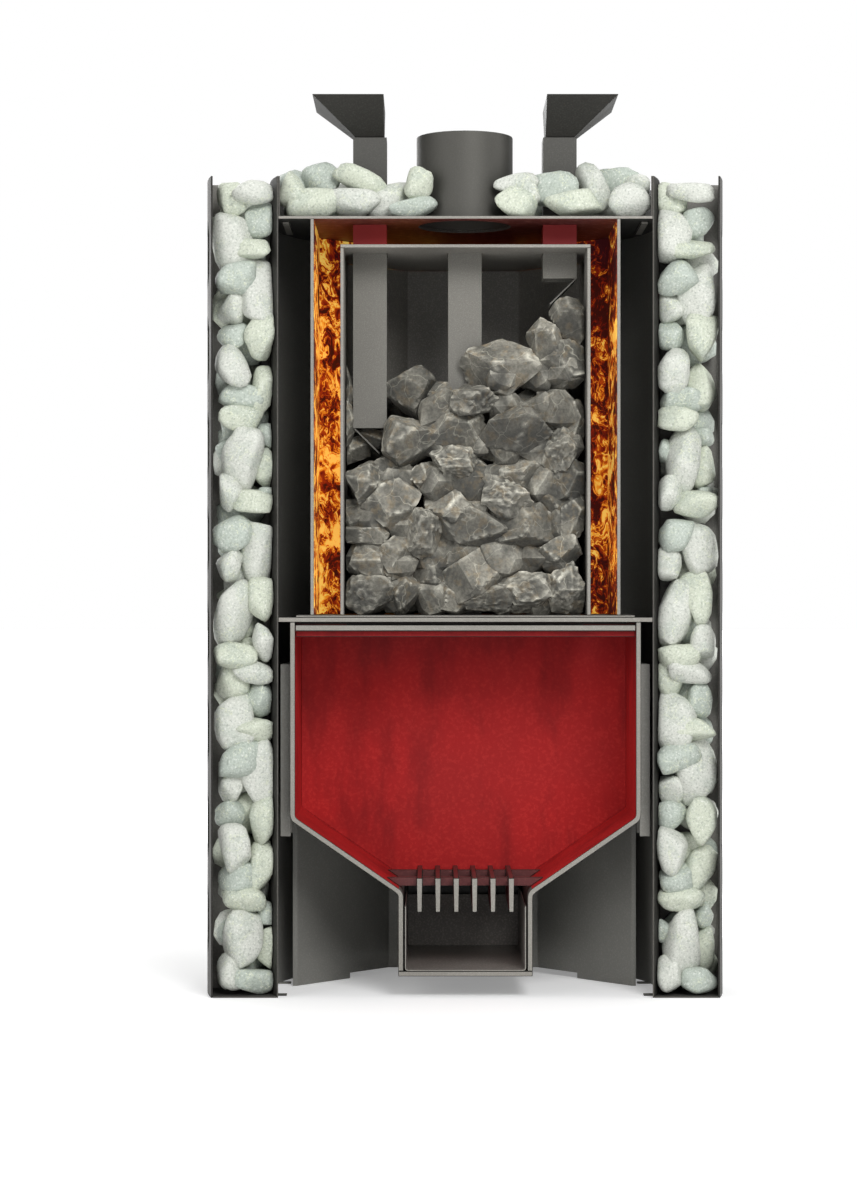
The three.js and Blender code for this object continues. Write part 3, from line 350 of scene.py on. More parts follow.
# Across, height, half width and half height in millimetres, tilt in degrees, taper, set-back in metres
# and tone
STACK = [
    (-18, 936, 19, 20, 0, 0.0, BACK_LAYER, MOSS),
    (8, 945, 25, 13, 7, 0.0, FRONT_LAYER, PALE),
    (17, 913, 18, 21, 0, 0.0, BACK_LAYER, SLATE),
    (-12, 891, 24, 36, -6, 0.0, BACK_LAYER - 0.005, PALE),
    (9, 877, 25, 13, 2, 0.0, FRONT_LAYER, MOSS),
    (-9, 843, 26, 19, -22, 0.0, FRONT_LAYER, SLATE),
    (14, 826, 21.5, 39, -7, 0.0, BACK_LAYER - 0.004, PALE),
    (-17, 809, 16, 19, 0, 0.0, BACK_LAYER, PALE),
    (-17, 776, 18, 17, 0, 0.0, BACK_LAYER, SLATE),
    (18, 771, 18, 28, 0, 0.45, FRONT_LAYER + 0.004, MOSS),
    (-14, 737, 19, 28, -7, 0.1, FRONT_LAYER, PALE),
    (19, 713, 16, 29, 12, 0.2, BACK_LAYER - 0.004, MOSS),
    (-5.5, 702, 25, 16.5, -8, 0.0, FRONT_LAYER + 0.006, SLATE),
    (-5, 679, 26, 13.5, 3, 0.0, FRONT_LAYER, MOSS),
    (24, 658, 12, 14, 0, 0.0, BACK_LAYER, SLATE),
    (-24, 640, 11, 14, 0, 0.0, BACK_LAYER, SLATE),
    (-1.5, 629, 22.5, 38, 8, 0.0, FRONT_LAYER + 0.003, PALE),
    (24, 622, 13, 25, 0, 0.0, BACK_LAYER, MOSS),
    (-18, 594, 15, 21.5, -8, 0.0, FRONT_LAYER, PALE),
    (9, 579, 25.5, 14, 4, 0.0, FRONT_LAYER, MOSS),
    (24, 590, 11, 9, 0, 0.0, BACK_LAYER, SLATE),
    (-9, 544, 26, 19, -22, 0.0, FRONT_LAYER, SLATE),
    (14, 528, 21.5, 39, -7, 0.0, BACK_LAYER - 0.004, PALE),
    (-20, 507, 14, 20, 0, 0.0, FRONT_LAYER + 0.005, PALE),
    (17, 468, 18, 29, 0, 0.45, FRONT_LAYER + 0.004, MOSS),
    (-12.5, 450, 22.5, 38, 5, 0.0, FRONT_LAYER + 0.006, PALE),
    (20.7, 416, 14, 21, 6, 0.0, FRONT_LAYER, PALE),
    (-9.4, 400, 25.5, 14, 0, 0.0, FRONT_LAYER, MOSS),
]
LOWEST_STONE = (11.7, 18.5, 23.5, 15.5, -6, 0.0, FRONT_LAYER, SLATE)
# The first stones of the stack come again below it: how many, and how far down in millimetres
REPEATED = 19
REPEATED_BELOW = 564.4
JACKET_DEEPEST = 0.0155
LOWEST_ROW = 0.028
JACKET_FILL_ROWS = 20
JACKET_FILL_PITCH = 0.0462
JACKET_FILL_OUTWARD = 0.008
JACKET_FILL_AHEAD = 0.0225
JACKET_FILL_STAGGER = 0.006
REAR_COLUMNS = 15
REAR_ROWS = 21
REAR_PITCH = 0.0445
REAR_STAGGER = 0.16
REAR_ODD_LIFT = 0.007
REAR_RING = (CHANNEL_INNER + CHANNEL_OUTER) / 2
REAR_TONES = (PALE, PALE, MOSS, SLATE)
PEBBLE_SWELL = 1.12
PEBBLE_FLATS = 6
FLAT_WEAR = 0.72
NOISE_REACH = 50
PLAIN_MESH, FINE_MESH = 2, 3
SECTION_CLEARANCE = 0.0004
FLOOR_CLEARANCE = 0.0003


def scatter(dice, *reaches):
    """A random vector of up to each reach, either way."""
    return Vector([dice.uniform(-reach, reach) for reach in reaches])


def kept_value(mesh, name):
    """The layer that keeps a number for each corner, for a material to read."""
    return mesh.verts.layers.float.get(name) or mesh.verts.layers.float.new(name)


def add_pebble(mesh, spot, half, tilt, taper, tone, dice, steps=PLAIN_MESH):
    """One water-worn stone: a rounded block with a few worn flats, pulled out of true by noise."""
    tone_layer = kept_value(mesh, "stone_tone")
    corners = bmesh.ops.create_icosphere(mesh, subdivisions=steps, radius=1.0)["verts"]
    drift = scatter(dice, NOISE_REACH, NOISE_REACH, NOISE_REACH)
    squareness = dice.uniform(2.2, 3.0)
    flats = []
    for _ in range(PEBBLE_FLATS):
        facing = Vector((dice.gauss(0, 1), dice.gauss(0, 0.8), dice.gauss(0, 1))).normalized()
        flats.append((facing, dice.uniform(0.62, 0.86)))
    nod = dice.uniform(-12, 12)
    swing = dice.uniform(-14, 14)
    turn = Euler([math.radians(angle) for angle in (nod, tilt, swing)])
    for corner in corners:
        way = corner.co.normalized()
        reach = sum(abs(part) ** squareness for part in way) ** (-1 / squareness)
        reach *= 1 + 0.2 * noise.noise(way * 1.2 + drift) + 0.07 * noise.noise(way * 2.6 + drift)
        point = way * reach * PEBBLE_SWELL
        for facing, flat in flats:
            point -= facing * max(point.dot(facing) - flat, 0) * FLAT_WEAR
        point = Vector((point.x * half[0] * (1 + taper * point.z), point.y * half[1], point.z * half[2]))
        point.rotate(turn)
        corner.co = point + spot
        corner[tone_layer] = tone


def keep_in_ring(mesh, inner, outer, floor):
    """Moves what reaches into the walls or the floor of a round trough, or past the section, back in."""
    for corner in mesh.verts:
        across = math.hypot(corner.co.x, corner.co.y - AXIS_Y)
        share = min(max(across, inner), outer) / across
        corner.co.x *= share
        corner.co.y = max(AXIS_Y + (corner.co.y - AXIS_Y) * share, SECTION_Y + SECTION_CLEARANCE)
        corner.co.z = max(corner.co.z, floor + FLOOR_CLEARANCE)


def piece_of(name, mesh, finish, body, slot, *nodes):
    """Turns a finished mesh into a piece that stands for the named nodes."""
    for face in mesh.faces:
        face.smooth = True
    data = bpy.data.meshes.new(name)
    mesh.to_mesh(data)
    mesh.free()
    data.materials.append(finish)
    piece = bpy.data.objects.new(name, data)
    scene.collection.objects.link(piece)
    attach(piece, body)
    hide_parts(*nodes)


lower_stack = [(x, z - REPEATED_BELOW, *rest) for x, z, *rest in STACK[:REPEATED]]
full_stack = STACK + lower_stack + [LOWEST_STONE]
for label, side in SIDES.items():
    stones = bmesh.new()
    dice = random.Random(f"jacket {label}")
    for x, z, width, height, tilt, taper, depth, tone in full_stack:
        spot = Vector((side * CHANNEL_MIDDLE + x / 1000, SECTION_Y + depth, z / 1000))
        deep = min(JACKET_DEEPEST, 0.7 * min(width, height) / 1000 + 0.003)
        half = (width / 1000, deep, height / 1000)
        add_pebble(stones, spot, half, tilt, taper, tone, dice, FINE_MESH)
    for row in range(JACKET_FILL_ROWS):
        across = side * (CHANNEL_MIDDLE + JACKET_FILL_OUTWARD) + JACKET_FILL_STAGGER * (-1) ** row
        spot = Vector((across, AXIS_Y - JACKET_FILL_AHEAD, LOWEST_ROW + JACKET_FILL_PITCH * row))
        half = (dice.uniform(0.024, 0.028), 0.0185, dice.uniform(0.022, 0.026))
        tilt = dice.uniform(-12, 12)
        add_pebble(stones, spot, half, tilt, 0.0, dice.choice(TONES), dice)
    keep_in_ring(stones, CHANNEL_INNER, CHANNEL_OUTER, CHANNEL_FLOOR)
    piece_of(f"jacket_stones_{label}", stones, pale_stone, "heater", "pale_pebble",
             f"jacket_pebbles_{label}")

stones = bmesh.new()
dice = random.Random("rear jacket")
for column in range(REAR_COLUMNS):
    for row in range(REAR_ROWS):
        turn = math.pi * (column + 0.5 + REAR_STAGGER * (-1) ** row) / REAR_COLUMNS
        ring = REAR_RING + dice.uniform(-0.003, 0.003)
        lift = LOWEST_ROW + REAR_PITCH * row + dice.uniform(-0.004, 0.004) + REAR_ODD_LIFT * (column % 2)
        spot = Vector((ring * math.cos(turn), AXIS_Y + ring * math.sin(turn), lift))
        half = (dice.uniform(0.027, 0.035), dice.uniform(0.030, 0.036), dice.uniform(0.021, 0.027))
        tilt = dice.uniform(-20, 20)
        start = len(stones.verts)
        add_pebble(stones, Vector(), half, tilt, 0.0, dice.choice(REAR_TONES), dice)
        stones.verts.ensure_lookup_table()
        for corner in stones.verts[start:]:
            corner.co.rotate(Euler((0, 0, turn - math.pi / 2)))
            corner.co += spot
keep_in_ring(stones, CHANNEL_INNER, CHANNEL_OUTER, CHANNEL_FLOOR)
piece_of("rear_jacket_stones", stones, pale_stone, "heater", "pale_pebble",
         *(f"rear_jacket_pebbles_{label}" for label in ("left", "middle", "right")))


# Top tray: a round plate with a low rim that hangs in the casing, and the flue collar welded to it.
# Below, the plate closes the smoke gap and is dark red there with painted fire glow; two flat rails carry it
# at the sides.
BODY_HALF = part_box("body_shell")[1].x
BURN_FADE = 0.001


def own_axes(tree):
    """A point's X, Y and Z in the axes of its own piece, in metres."""
    return put(tree, "SeparateXYZ", Vector=own_place(tree)).outputs


# Under the tray, over the smoke gap: dark red of painted fire glow; past the body it is dark paint.
glow_red_underside, tree, skin = blank("glow_red_underside")
surface = flecked_paint(tree, (92, 46, 44), (132, 88, 84), 90.0, 0.7)
aside = worked_out(tree, "ABSOLUTE", own_axes(tree)["X"])
past_body = between(tree, aside, BODY_HALF - BURN_FADE, BODY_HALF)
underside_tone = mixed(tree, past_body, surface["Colour"], colour(52, 51, 48))
plug(tree, skin, Base_Color=underside_tone, Roughness=surface["Roughness"])
tray_paint = steel("tray_paint", (62, 61, 57), (86, 85, 80))
flue_paint = steel("flue_paint", (73, 72, 68), (86, 85, 81), scale=800.0, amount=0.35, metallic=0.7)


def plate_face(way):
    """For a level plate: 1 on top (way 1) or below (way -1), 2 on the section and 0 elsewhere."""
    def pick(middle, normal):
        if on_section(middle, normal):
            return 2
        return 1 if way * normal.z > 0.5 else 0
    return pick


dress("tray_floor", [tray_paint, glow_red_underside, cut_plate], plate_face(-1))
dress("tray_wall", [tray_paint, cut_sheet])
dress("flue_collar", [flue_paint])
for label in SIDES:
    dress(f"tray_rail_{label}", [cut_plate])


# Stones heaped on the tray: loose tumbled pebbles on both sides of the flue, clear of the water tubes.
# Those at the section have their own places, and the others lie in rings behind them, up to two high.
# The columns are those of the jacket's stack
TRAY_FRONT = {
    "left": [
        (-203, 951, 14, 19, 0, -0.1, 0.026, MOSS), (-171, 962, 22, 19, 0, -0.15, 0.050, SLATE),
        (-124.5, 961, 27.5, 15.5, 22, 0.0, 0.030, MOSS), (-184, 932, 31, 15.5, -4, 0.0, 0.018, MOSS),
        (-130, 934, 27, 16.5, 9, 0.0, 0.017, PALE), (-87, 937, 26, 18, -10, 0.0, 0.034, PALE),
        (-53.5, 953, 13.8, 17.5, 8, 0.0, 0.015, MOSS), (-61, 928, 24.5, 12, -6, 0.0, 0.0145, SLATE),
    ],
    "right": [
        (58, 956, 22, 11.5, -12, 0.0, 0.021, PALE), (74, 946, 14, 11, 0, 0.0, 0.020, PALE),
        (63, 932, 24, 15.5, 20, 0.0, 0.0145, MOSS), (107, 947, 25.5, 20, 0, 0.0, 0.036, SLATE),
        (131, 932, 32, 16, -5, 0.0, 0.017, MOSS), (151.5, 953, 15, 27, -24, 0.0, 0.040, PALE),
        (180, 963, 26, 15, -4, 0.0, 0.060, SLATE), (205, 956, 12.5, 13, 0, 0.0, 0.050, PALE),
        (192, 935, 26, 19, -12, 0.0, 0.020, PALE),
    ],
}
TRAY_WIDER, TRAY_TALLER = 1.08, 1.06
TRAY_DEEPEST = 0.0145
TRAY_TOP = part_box("tray_floor")[1].z
TRAY_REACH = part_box("tray_wall")[1].x - 0.003
FLUE_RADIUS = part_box("flue_collar")[1].x + 0.0006
TRAY_RINGS = (0.089, 0.141, 0.190)
TRAY_SEAM = 0.028
TRAY_PITCH = 0.052
TRAY_LIFT = 0.001
LAYER_LIFT = 0.024
TUBE_ASIDE = 0.113
FUNNEL_HALF_WIDTH, FUNNEL_HALF_DEPTH = 0.041, 0.036
for label, side in SIDES.items():
    stones = bmesh.new()
    dice = random.Random(f"tray {label}")
    for x, z, width, height, tilt, taper, depth, tone in TRAY_FRONT[label]:
        deep = min(TRAY_DEEPEST, 0.8 * height / 1000)
        half = (TRAY_WIDER * width / 1000, deep, TRAY_TALLER * height / 1000)
        spot = Vector((x / 1000, SECTION_Y + depth, z / 1000))
        add_pebble(stones, spot, half, tilt, taper, tone, dice, FINE_MESH)
    for ring in TRAY_RINGS:
        last_turn = math.acos(TRAY_SEAM / ring)
        count = round(last_turn * ring / TRAY_PITCH)
        for i in range(count + 1):
            turn = last_turn * i / count
            x = side * ring * math.cos(turn)
            y = ring * math.sin(turn)
            if abs(abs(x) - TUBE_ASIDE) < FUNNEL_HALF_WIDTH and abs(y) < FUNNEL_HALF_DEPTH:
                continue
            layers = 2 if (i + round(ring * 1000)) % 3 else 1
            for layer in range(layers):
                half_height = dice.uniform(0.0155, 0.0185)
                spot = Vector((x, AXIS_Y + y, TRAY_TOP + half_height + TRAY_LIFT + LAYER_LIFT * layer))
                half = (dice.uniform(0.024, 0.029), dice.uniform(0.021, 0.025), half_height)
                tilt = dice.uniform(-8, 8)
                add_pebble(stones, spot, half, tilt, 0.0, dice.choice(TONES), dice)
    keep_in_ring(stones, FLUE_RADIUS, TRAY_REACH, TRAY_TOP)
    piece_of(f"tray_stones_{label}", stones, pale_stone, "heater", "pale_pebble", f"tray_pebbles_{label}")


# Water feed: square steel tubes that run down through tray and lid, each with a sheet funnel plugged
# into its top. The tubes are bare and grainy in the stone chamber, red in the smoke gap with painted
# fire glow, and painted above the tray. The fire tube on the axis is of the same stock.
GLOW_RED_FROM = (0.8805, 0.8815)
PAINTED_FROM = (0.9135, 0.9145)
tube_steel, tree, skin = blank("tube_steel")
outer = flecked_paint(tree, (58, 57, 53), (80, 79, 74), 1000.0, 0.5)
bare = flecked_paint(tree, (104, 102, 96), (134, 132, 124), 900.0, 0.55)
up = own_axes(tree)["Z"]
# Red band in the smoke gap: painted fire glow.
glow_red_band = mixed(tree, between(tree, up, *GLOW_RED_FROM), bare["Colour"], colour(150, 38, 40))
shown = mixed(tree, between(tree, up, *PAINTED_FROM), glow_red_band, outer["Colour"])
cover(tree, skin, shown, bare, 0.2, 0.0006)
plug(tree, skin, Metallic=0.15)

funnel_paint = steel("funnel_paint", (46, 45, 42), (62, 61, 57), gloss=0.25)
for label in SIDES:
    dress(f"water_tube_{label}", [tube_steel])
    dress(f"funnel_{label}", [funnel_paint])
dress("fire_tube", [tube_steel])


# Heater body: two eight-sided shells bent from plate, one in the other. Fire gas rises in the gap
# between them, and both faces of that gap carry painted fire glow: flame light in reds and yellows,
# with a glow of their own though they are no lamp.
def swirled(tree, place, scale, detail, amount):
    """A place moved about by noise, so that what is drawn there runs in bends."""
    bend = put(tree, "TexNoise", Vector=place, Scale=scale, Detail=detail).outputs["Color"]
    by = (amount, amount, amount)
    return put(tree, "VectorMath", operation="MULTIPLY_ADD", _0=bend, _1=by, _2=place).outputs[0]


# Painted fire glow: flame light laid on as colour, in strands and clumps, fading to the right and upward.
fire_glow_paint, given, result = effect("fire_glow_paint", {"Heat": "Float"}, {"Colour": "Color"})
place = own_axes(fire_glow_paint)
lean = put(fire_glow_paint, "Mapping", Vector=own_place(fire_glow_paint), Scale=(1.0, 0.3, 0.66)).outputs[0]
curled = swirled(fire_glow_paint, lean, 26.0, 3.0, 0.1)
level = grain(fire_glow_paint, curled, 58.0, 4.0, 0.55)
from_strand = off_middle(fire_glow_paint, grain(fire_glow_paint, curled, 92.0, 3.0, 0.6))
lit_strand = between(fire_glow_paint, from_strand, 0.0, 0.06, 0.085, -0.03)
clump = between(fire_glow_paint, grain(fire_glow_paint, lean, 20.0, 2.0), 0.3, 0.7, -0.09, 0.09)
rightward = between(fire_glow_paint, place["X"], -0.1, 0.1, 0.0, -0.03)
glow_fading_up = between(fire_glow_paint, place["Z"], 0.78, 0.9, 0.0, -0.09)
upward = worked_out(fire_glow_paint, "MULTIPLY", glow_fading_up, between(fire_glow_paint, place["X"], -0.16, 0.02, 0.05, 1.0))
for share in (given["Heat"], rightward, upward, lit_strand, clump):
    level = worked_out(fire_glow_paint, "ADD", level, share)
glow = ramp(
    fire_glow_paint, level, (0.38, (50, 6, 14)), (0.63, (255, 222, 112)),
    (0.45, (118, 24, 14)), (0.515, (172, 72, 18)), (0.57, (236, 168, 46)),
)
plug(fire_glow_paint, result, Colour=glow)


def glow_painted_plate(name, heat, glow_strength):
    """Plate with painted fire glow: flame light in its colour, and an emission though it is no lamp."""
    material, tree, skin = blank(name)
    tint = put(tree, "Group", node_tree=fire_glow_paint, Heat=heat).outputs["Colour"]
    plug(tree, skin, Base_Color=tint, Emission_Color=tint, Emission_Strength=glow_strength, Roughness=0.75)
    return material


fire_channel = glow_painted_plate("fire_channel", 0.008, 0.42)
smoke_channel = glow_painted_plate("smoke_channel", -0.04, 0.12)
chamber_paint = steel("chamber_paint", (120, 117, 111), (154, 151, 143), scale=560.0, amount=0.6)


def shell_face(middle, normal):
    """For an eight-sided shell: 0 inside, 1 outside and on its level edges, 2 on the section."""
    if on_section(middle, normal):
        return 2
    if abs(normal.z) > 0.9:
        return 1
    outward = normal.x * middle.x + normal.y * max(middle.y - AXIS_Y, 0)
    return 1 if outward > 0 else 0


dress("body_shell", [fire_channel, air_gap_paint, cut_plate], shell_face)
dress("chamber_shell", [chamber_paint, fire_channel, cut_plate], shell_face)
dress("chamber_lid", [chamber_paint, smoke_channel, cut_plate], plate_face(1))
PLATE_PIECES = ("front", "rear_left", "rear_right")
for label in PLATE_PIECES:
    dress(f"chamber_base_{label}", [chamber_paint, cut_plate])


# Rocks in the stone chamber: broken grey rock with worn pale edges, heaped up towards the right and
# held in by the chamber's walls.
rock_skin, given, result = effect("rock_skin", {"Wear": "Float", "Tone": "Float"}, SURFACE)
spot = own_place(rock_skin)
coarse = grain(rock_skin, spot, 26.0, 4.0, 0.6)
gritty = grain(rock_skin, spot, 240.0, 3.0, 0.65)
stain = grain(rock_skin, spot, 85.0, 3.0, 0.6)
bent = swirled(rock_skin, spot, 40.0, 2.0, 0.03)
crack = put(rock_skin, "TexVoronoi", feature="DISTANCE_TO_EDGE", Vector=bent, Scale=19.0).outputs[0]
outward = put(rock_skin, "NewGeometry").outputs["Normal"]
facing = put(rock_skin, "SeparateXYZ", Vector=outward).outputs["Z"]
body = mixed(rock_skin, between(rock_skin, coarse, 0.34, 0.66), colour(80, 79, 73), colour(128, 125, 115))
rusty = mixed(rock_skin, between(rock_skin, stain, 0.5, 0.66, 0.0, 0.5), body, colour(128, 113, 88))
lined = mixed(rock_skin, between(rock_skin, crack, 0.0, 0.013, 0.45, 0.0), rusty, colour(186, 183, 168))
shown = mixed(rock_skin, given["Wear"], lined, colour(208, 205, 191))
by_tone = between(rock_skin, given["Tone"], 0.0, 1.0, 0.74, 1.26)
by_grit = between(rock_skin, gritty, 0.3, 0.7, 0.74, 1.24)
# Faces that look up are painted lighter and faces that look down darker: painted light and shade.
painted_top_light = between(rock_skin, facing, -0.6, 0.7, 0.42, 1.16)
for shade in (by_tone, by_grit, painted_top_light):
    shown = mixed(rock_skin, 1.0, shown, shade, "MULTIPLY")
sheen = between(rock_skin, coarse, 0.3, 0.7, 0.72, 0.92)
plug(rock_skin, result, Colour=shown, Roughness=sheen, Height=gritty)

grey_rock, tree, skin = blank("grey_rock")
wear = put(tree, "Attribute", attribute_name="rock_wear").outputs["Fac"]
tone = put(tree, "Attribute", attribute_name="rock_tone").outputs["Fac"]
surface = put(tree, "Group", node_tree=rock_skin, Wear=wear, Tone=tone).outputs
cover(tree, skin, surface["Colour"], surface, 0.45, 0.002)

# Across, height, half width, half height and set-back of the rocks that show, in millimetres
FRONT_ROCKS = [
    (-66, 712, 27, 26, 64), (-65, 655, 32, 30, 36), (-106, 660, 16, 11, 76), (-128, 645, 15, 17, 76),
    (-10, 668, 40, 25, 34), (5, 700, 31, 20, 27), (48, 737, 40, 30, 42), (96, 774, 21, 26, 34),
    (123, 793, 19, 26, 38), (118, 748, 28, 30, 38), (66, 666, 39, 26, 28), (107, 696, 21, 24, 46),
    (128, 674, 17, 28, 40), (114, 643, 19, 25, 26), (44, 641, 23, 17, 48), (-10, 627, 26, 19, 24),
    (-49, 610, 20, 19, 40), (7, 614, 27, 22, 44), (68, 616, 37, 25, 42), (-118, 604, 21, 23, 28),
    (-86, 622, 23, 17, 50), (-84, 585, 31, 31, 36), (48, 588, 32, 23, 25), (101, 583, 22, 23, 44),
    (126, 608, 18, 24, 36), (-20, 573, 27, 27, 40), (1, 555, 37, 27, 30), (-53, 551, 19, 26, 24),
    (-118, 567, 22, 21, 42), (70, 551, 35, 26, 32), (126, 561, 16, 25, 34), (-116, 542, 23, 13, 30),
    (-116, 512, 25, 26, 32), (-79, 516, 27, 28, 38), (-20, 520, 26, 20, 44), (114, 522, 25, 17, 28),
    (42, 526, 26, 15, 46), (-42, 489, 22, 20, 42), (7, 493, 35, 28, 32), (-114, 472, 27, 23, 26),
    (-75, 472, 18, 23, 30), (70, 477, 35, 24, 27), (118, 477, 23, 27, 26), (-16, 467, 26, 17, 34),
    (25, 467, 26, 17, 24), (76, 507, 17, 14, 48), (-120, 706, 22, 24, 118), (84, 745, 20, 20, 62),
    (-30, 705, 20, 16, 62), (-139, 716, 6, 24, 62), (-139, 676, 7, 26, 60),
]
ROCK_SWELL = 1.14
ROCK_BREAKS = 11
BREAK_JITTER = 0.4
GOLDEN_TURN = math.pi * (3 - math.sqrt(5))
CRUMBLED_WITHIN = 28
CRUMBLE, CLEAN_BREAK = 0.1, 0.02
FILL_ROCK_MESH, FRONT_ROCK_MESH = 2, 4
RIDGE_WIDTH = {FILL_ROCK_MESH: 0.2, FRONT_ROCK_MESH: 0.075}
SHARP_RIDGE = math.radians(13)
CHAMBER_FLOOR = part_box("chamber_base_front")[1].z
CHAMBER_HALF = 0.1415
WALL_CLEARANCE = 0.0006
BASE_CLEARANCE = 0.0002
# The fill behind the rocks that show: rows by set-back, columns from the left and levels from the base
ROCK_FILL_ROWS = (0.036, 0.070, 0.114, 0.160)
FILL_COLUMNS, FILL_COLUMN_PITCH, FILL_FROM_WALL = 7, 0.0405, 0.026
FILL_LEVELS, FILL_LEVEL_PITCH, FILL_FROM_BASE = 9, 0.044, 0.022
FILL_TOP_LEFT, FILL_TOP_RISE, FILL_TOP_STEP = 0.648, 0.13, 0.008
FILL_KEEP_IN = CHAMBER_HALF - 0.03
FIRE_TUBE_ROOM = (0.046, 0.05)
LEFT_TUBE_ROOM = (-0.07, 0.1, 0.615)


def add_rock(mesh, spot, half, dice, steps, tone, rough=CLEAN_BREAK):
    """One broken rock: flat breaks round a middle, slightly hollowed and bulged, with worn ridges and,
    where it crumbles, a rough skin with pale bumps."""
    wear_layer = kept_value(mesh, "rock_wear")
    tone_layer = kept_value(mesh, "rock_tone")
    corners = bmesh.ops.create_icosphere(mesh, subdivisions=steps, radius=1.0)["verts"]
    drift = scatter(dice, NOISE_REACH, NOISE_REACH, NOISE_REACH)
    breaks = []
    for i in range(ROCK_BREAKS):
        lift = 1 - (2 * i + 1) / ROCK_BREAKS
        turn = GOLDEN_TURN * i
        level = math.sqrt(1 - lift * lift)
        jitter = scatter(dice, BREAK_JITTER, BREAK_JITTER, BREAK_JITTER)
        way = Vector((level * math.cos(turn), level * math.sin(turn), lift)) + jitter
        breaks.append((way.normalized(), dice.uniform(0.62, 0.98)))
    spin = Euler((dice.uniform(0, 6), dice.uniform(0, 6), dice.uniform(0, 6)))
    ridge_width = RIDGE_WIDTH[steps]
    for corner in corners:
        way = corner.co.normalized()
        turned = way.copy()
        turned.rotate(spin)
        first, second = sorted(flat / max(turned.dot(facing), 0.05) for facing, flat in breaks)[:2]
        bumps = noise.noise(turned * 5 + drift)
        wavy = 1 + 0.04 * noise.noise(turned * 1.9 + drift) + rough * bumps
        reach = min(first, 1.25) * wavy
        corner.co = spot + Vector([part * size * reach for part, size in zip(way, half)])
        worn = 0.6 + 0.9 * noise.noise(turned * 3.1 + drift)
        ridge = max(0.0, 1 - (second / first - 1) / ridge_width) * min(max(worn, 0.0), 0.95)
        bump_top = (rough - CLEAN_BREAK) * 9 * max(bumps, 0)
        corner[wear_layer] = max(ridge, min(bump_top, 0.8))
        corner[tone_layer] = tone


rocks = bmesh.new()
dice = random.Random("chamber rocks")
for x, z, width, height, depth in FRONT_ROCKS:
    half = Vector((width, 0.72 * min(width, height) + 4, height)) / 1000
    setback = max(depth / 1000, half.y * 1.1 + 0.001)
    rough = CRUMBLE if depth < CRUMBLED_WITHIN else CLEAN_BREAK
    spot = Vector((x / 1000, SECTION_Y + setback, z / 1000))
    add_rock(rocks, spot, half * ROCK_SWELL, dice, FRONT_ROCK_MESH, dice.random(), rough)
for row, setback in enumerate(ROCK_FILL_ROWS):
    y = SECTION_Y + setback
    deep = 0.019 if row == 0 else 0.024
    for column in range(FILL_COLUMNS):
        x = -CHAMBER_HALF + FILL_FROM_WALL + FILL_COLUMN_PITCH * column
        across = max(-FILL_KEEP_IN, min(FILL_KEEP_IN, x))
        rise = FILL_TOP_RISE * (x + CHAMBER_HALF) / (2 * CHAMBER_HALF)
        top = FILL_TOP_LEFT + rise + FILL_TOP_STEP * row
        for level in range(FILL_LEVELS):
            z = CHAMBER_FLOOR + FILL_FROM_BASE + FILL_LEVEL_PITCH * level
            by_fire_tube = row and abs(x) < FIRE_TUBE_ROOM[0] and abs(y - AXIS_Y) < FIRE_TUBE_ROOM[1]
            by_left_tube = x < LEFT_TUBE_ROOM[0] and setback < LEFT_TUBE_ROOM[1] and z > LEFT_TUBE_ROOM[2]
            if z > top or by_fire_tube or by_left_tube:
                continue
            half = Vector((dice.uniform(0.024, 0.029), deep, dice.uniform(0.024, 0.029)))
            spot = Vector((across, y, z)) + scatter(dice, 0.006, 0.003, 0.005)
            # The fill rocks get the darkest tones: painted shade for the depth of the heap.
            add_rock(rocks, spot, half, dice, FILL_ROCK_MESH, dice.uniform(0.0, 0.3))
for corner in rocks.verts:
    corner.co.x = min(max(corner.co.x, WALL_CLEARANCE - CHAMBER_HALF), CHAMBER_HALF - WALL_CLEARANCE)
    corner.co.y = max(corner.co.y, SECTION_Y + SECTION_CLEARANCE)
    corner.co.z = max(corner.co.z, CHAMBER_FLOOR + BASE_CLEARANCE)
for edge in rocks.edges:
    edge.smooth = edge.calc_face_angle(0.0) < SHARP_RIDGE
piece_of("chamber_rocks", rocks, grey_rock, "heater", "grey_rock", "heater_rocks_front",
         "heater_rocks_left", "heater_rocks_right", "heater_rocks_rear")


# Firebox: heavy plates bent into a hopper, red inside with painted fire glow and dark outside. Its roof
# reaches the casing, and a thick baffle lies on two ledges under the roof.
BAFFLE_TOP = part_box("baffle")[1].z
DARKENING_FADE = 0.002
GLOW_FADES_FROM = (0.33, 0.44)
HOPPER_FOOT = 0.128
BACK_FOOT = 0.125
# Inside the firebox the plate is red with painted fire glow, darker upward as the painted glow fades, and it
# has an emission though it is no lamp.
fire_glow_plate, tree, skin = blank("fire_glow_plate")
surface = flecked_paint(tree, (148, 27, 28), (174, 44, 40), 240.0, 0.45)
up = own_axes(tree)["Z"]
upright = put(tree, "Mapping", Vector=own_place(tree), Scale=(1.0, 1.0, 0.3)).outputs[0]
streaks = between(tree, grain(tree, upright, 17.0, 5.0, 0.62), 0.44, 0.68, 0.0, 0.5)
streaked = mixed(tree, streaks, surface["Colour"], colour(88, 12, 16))
glow_faded = mixed(tree, between(tree, up, *GLOW_FADES_FROM, 0.0, 0.55), streaked, colour(70, 9, 13))
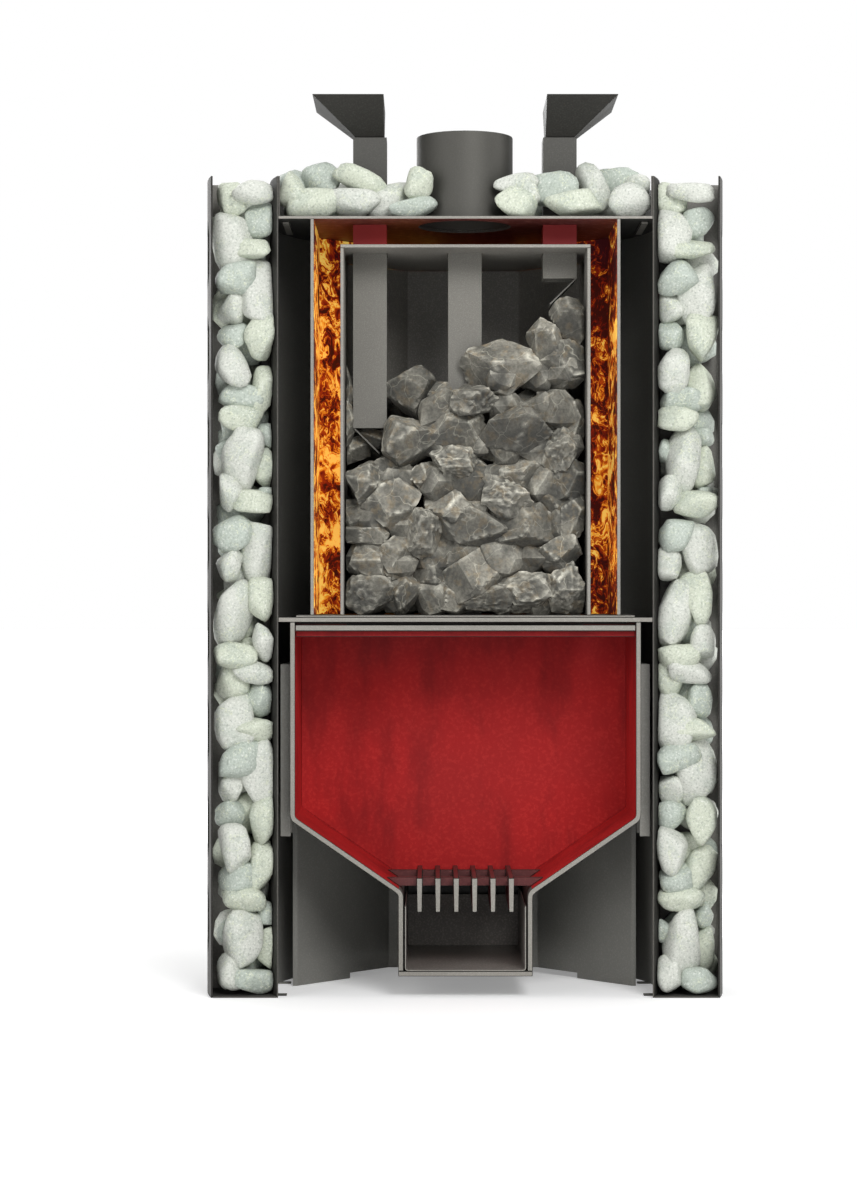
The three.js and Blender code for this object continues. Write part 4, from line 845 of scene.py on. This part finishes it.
# Near black above the baffle's top.
darkened_above_baffle = mixed(tree, between(tree, up, BAFFLE_TOP - DARKENING_FADE, BAFFLE_TOP), glow_faded, colour(30, 27, 26))
cover(tree, skin, darkened_above_baffle, surface, 0.1, 0.0006)
plug(tree, skin, Emission_Color=darkened_above_baffle, Emission_Strength=0.22, Specular_IOR_Level=0.15)

ash_paint = steel("ash_paint", (80, 76, 72), (124, 119, 113), scale=420.0, amount=0.55)
hopper_paint = steel("hopper_paint", (50, 50, 47), (68, 68, 64))
fin_plate = steel("fin_plate", (136, 134, 128), (156, 154, 147))


def hopper_face(side):
    """For a side of the firebox: 0 inside above the grate, 2 inside below it, 1 outside, 3 on the section."""
    def pick(middle, normal):
        if on_section(middle, normal):
            return 3
        inward = -side * normal.x
        if inward < 0.2:
            return 1
        return 0 if middle.z > HOPPER_FOOT else 2
    return pick


def back_face(middle, normal):
    """For the firebox's back: 0 inside above the grate, 2 inside below it, 1 outside."""
    if normal.y > -0.5:
        return 1
    return 0 if middle.z > BACK_FOOT else 2


for label, side in SIDES.items():
    dress(f"firebox_side_{label}", [fire_glow_plate, hopper_paint, ash_paint, cut_plate], hopper_face(side))
    dress(f"baffle_ledge_{label}", [fire_glow_plate])
    for number in (1, 2, 3):
        dress(f"convection_fin_{label}_{number}", [fin_plate])
dress("firebox_back", [fire_glow_plate, hopper_paint, ash_paint], back_face)
for label in PLATE_PIECES:
    dress(f"firebox_roof_{label}", [hopper_paint, cut_plate])
dress("baffle", [fire_glow_plate, hopper_paint, cut_plate], plate_face(1))


# Grate and ash chamber: a cast grate of tapered bars on edge over a sheet pan that slides out, in a
# plate duct that runs back between two folded legs.
# The grate's dark red is painted fire glow on the cast iron.
grate_iron = steel("grate_iron", (84, 30, 30), (108, 50, 47), scale=260.0, amount=0.6)
pan_sheet = steel("pan_sheet", (106, 101, 96), (146, 140, 133), scale=420.0, amount=0.6)
leg_paint = steel("leg_paint", (124, 123, 118), (140, 139, 133))
dress("grate", [grate_iron, cut_plate])
dress("ash_pan", [pan_sheet, cut_plate])
dress("ash_floor", [hopper_paint, cut_plate])
dress("ash_duct", [hopper_paint])
for label in SIDES:
    dress(f"leg_{label}", [leg_paint])
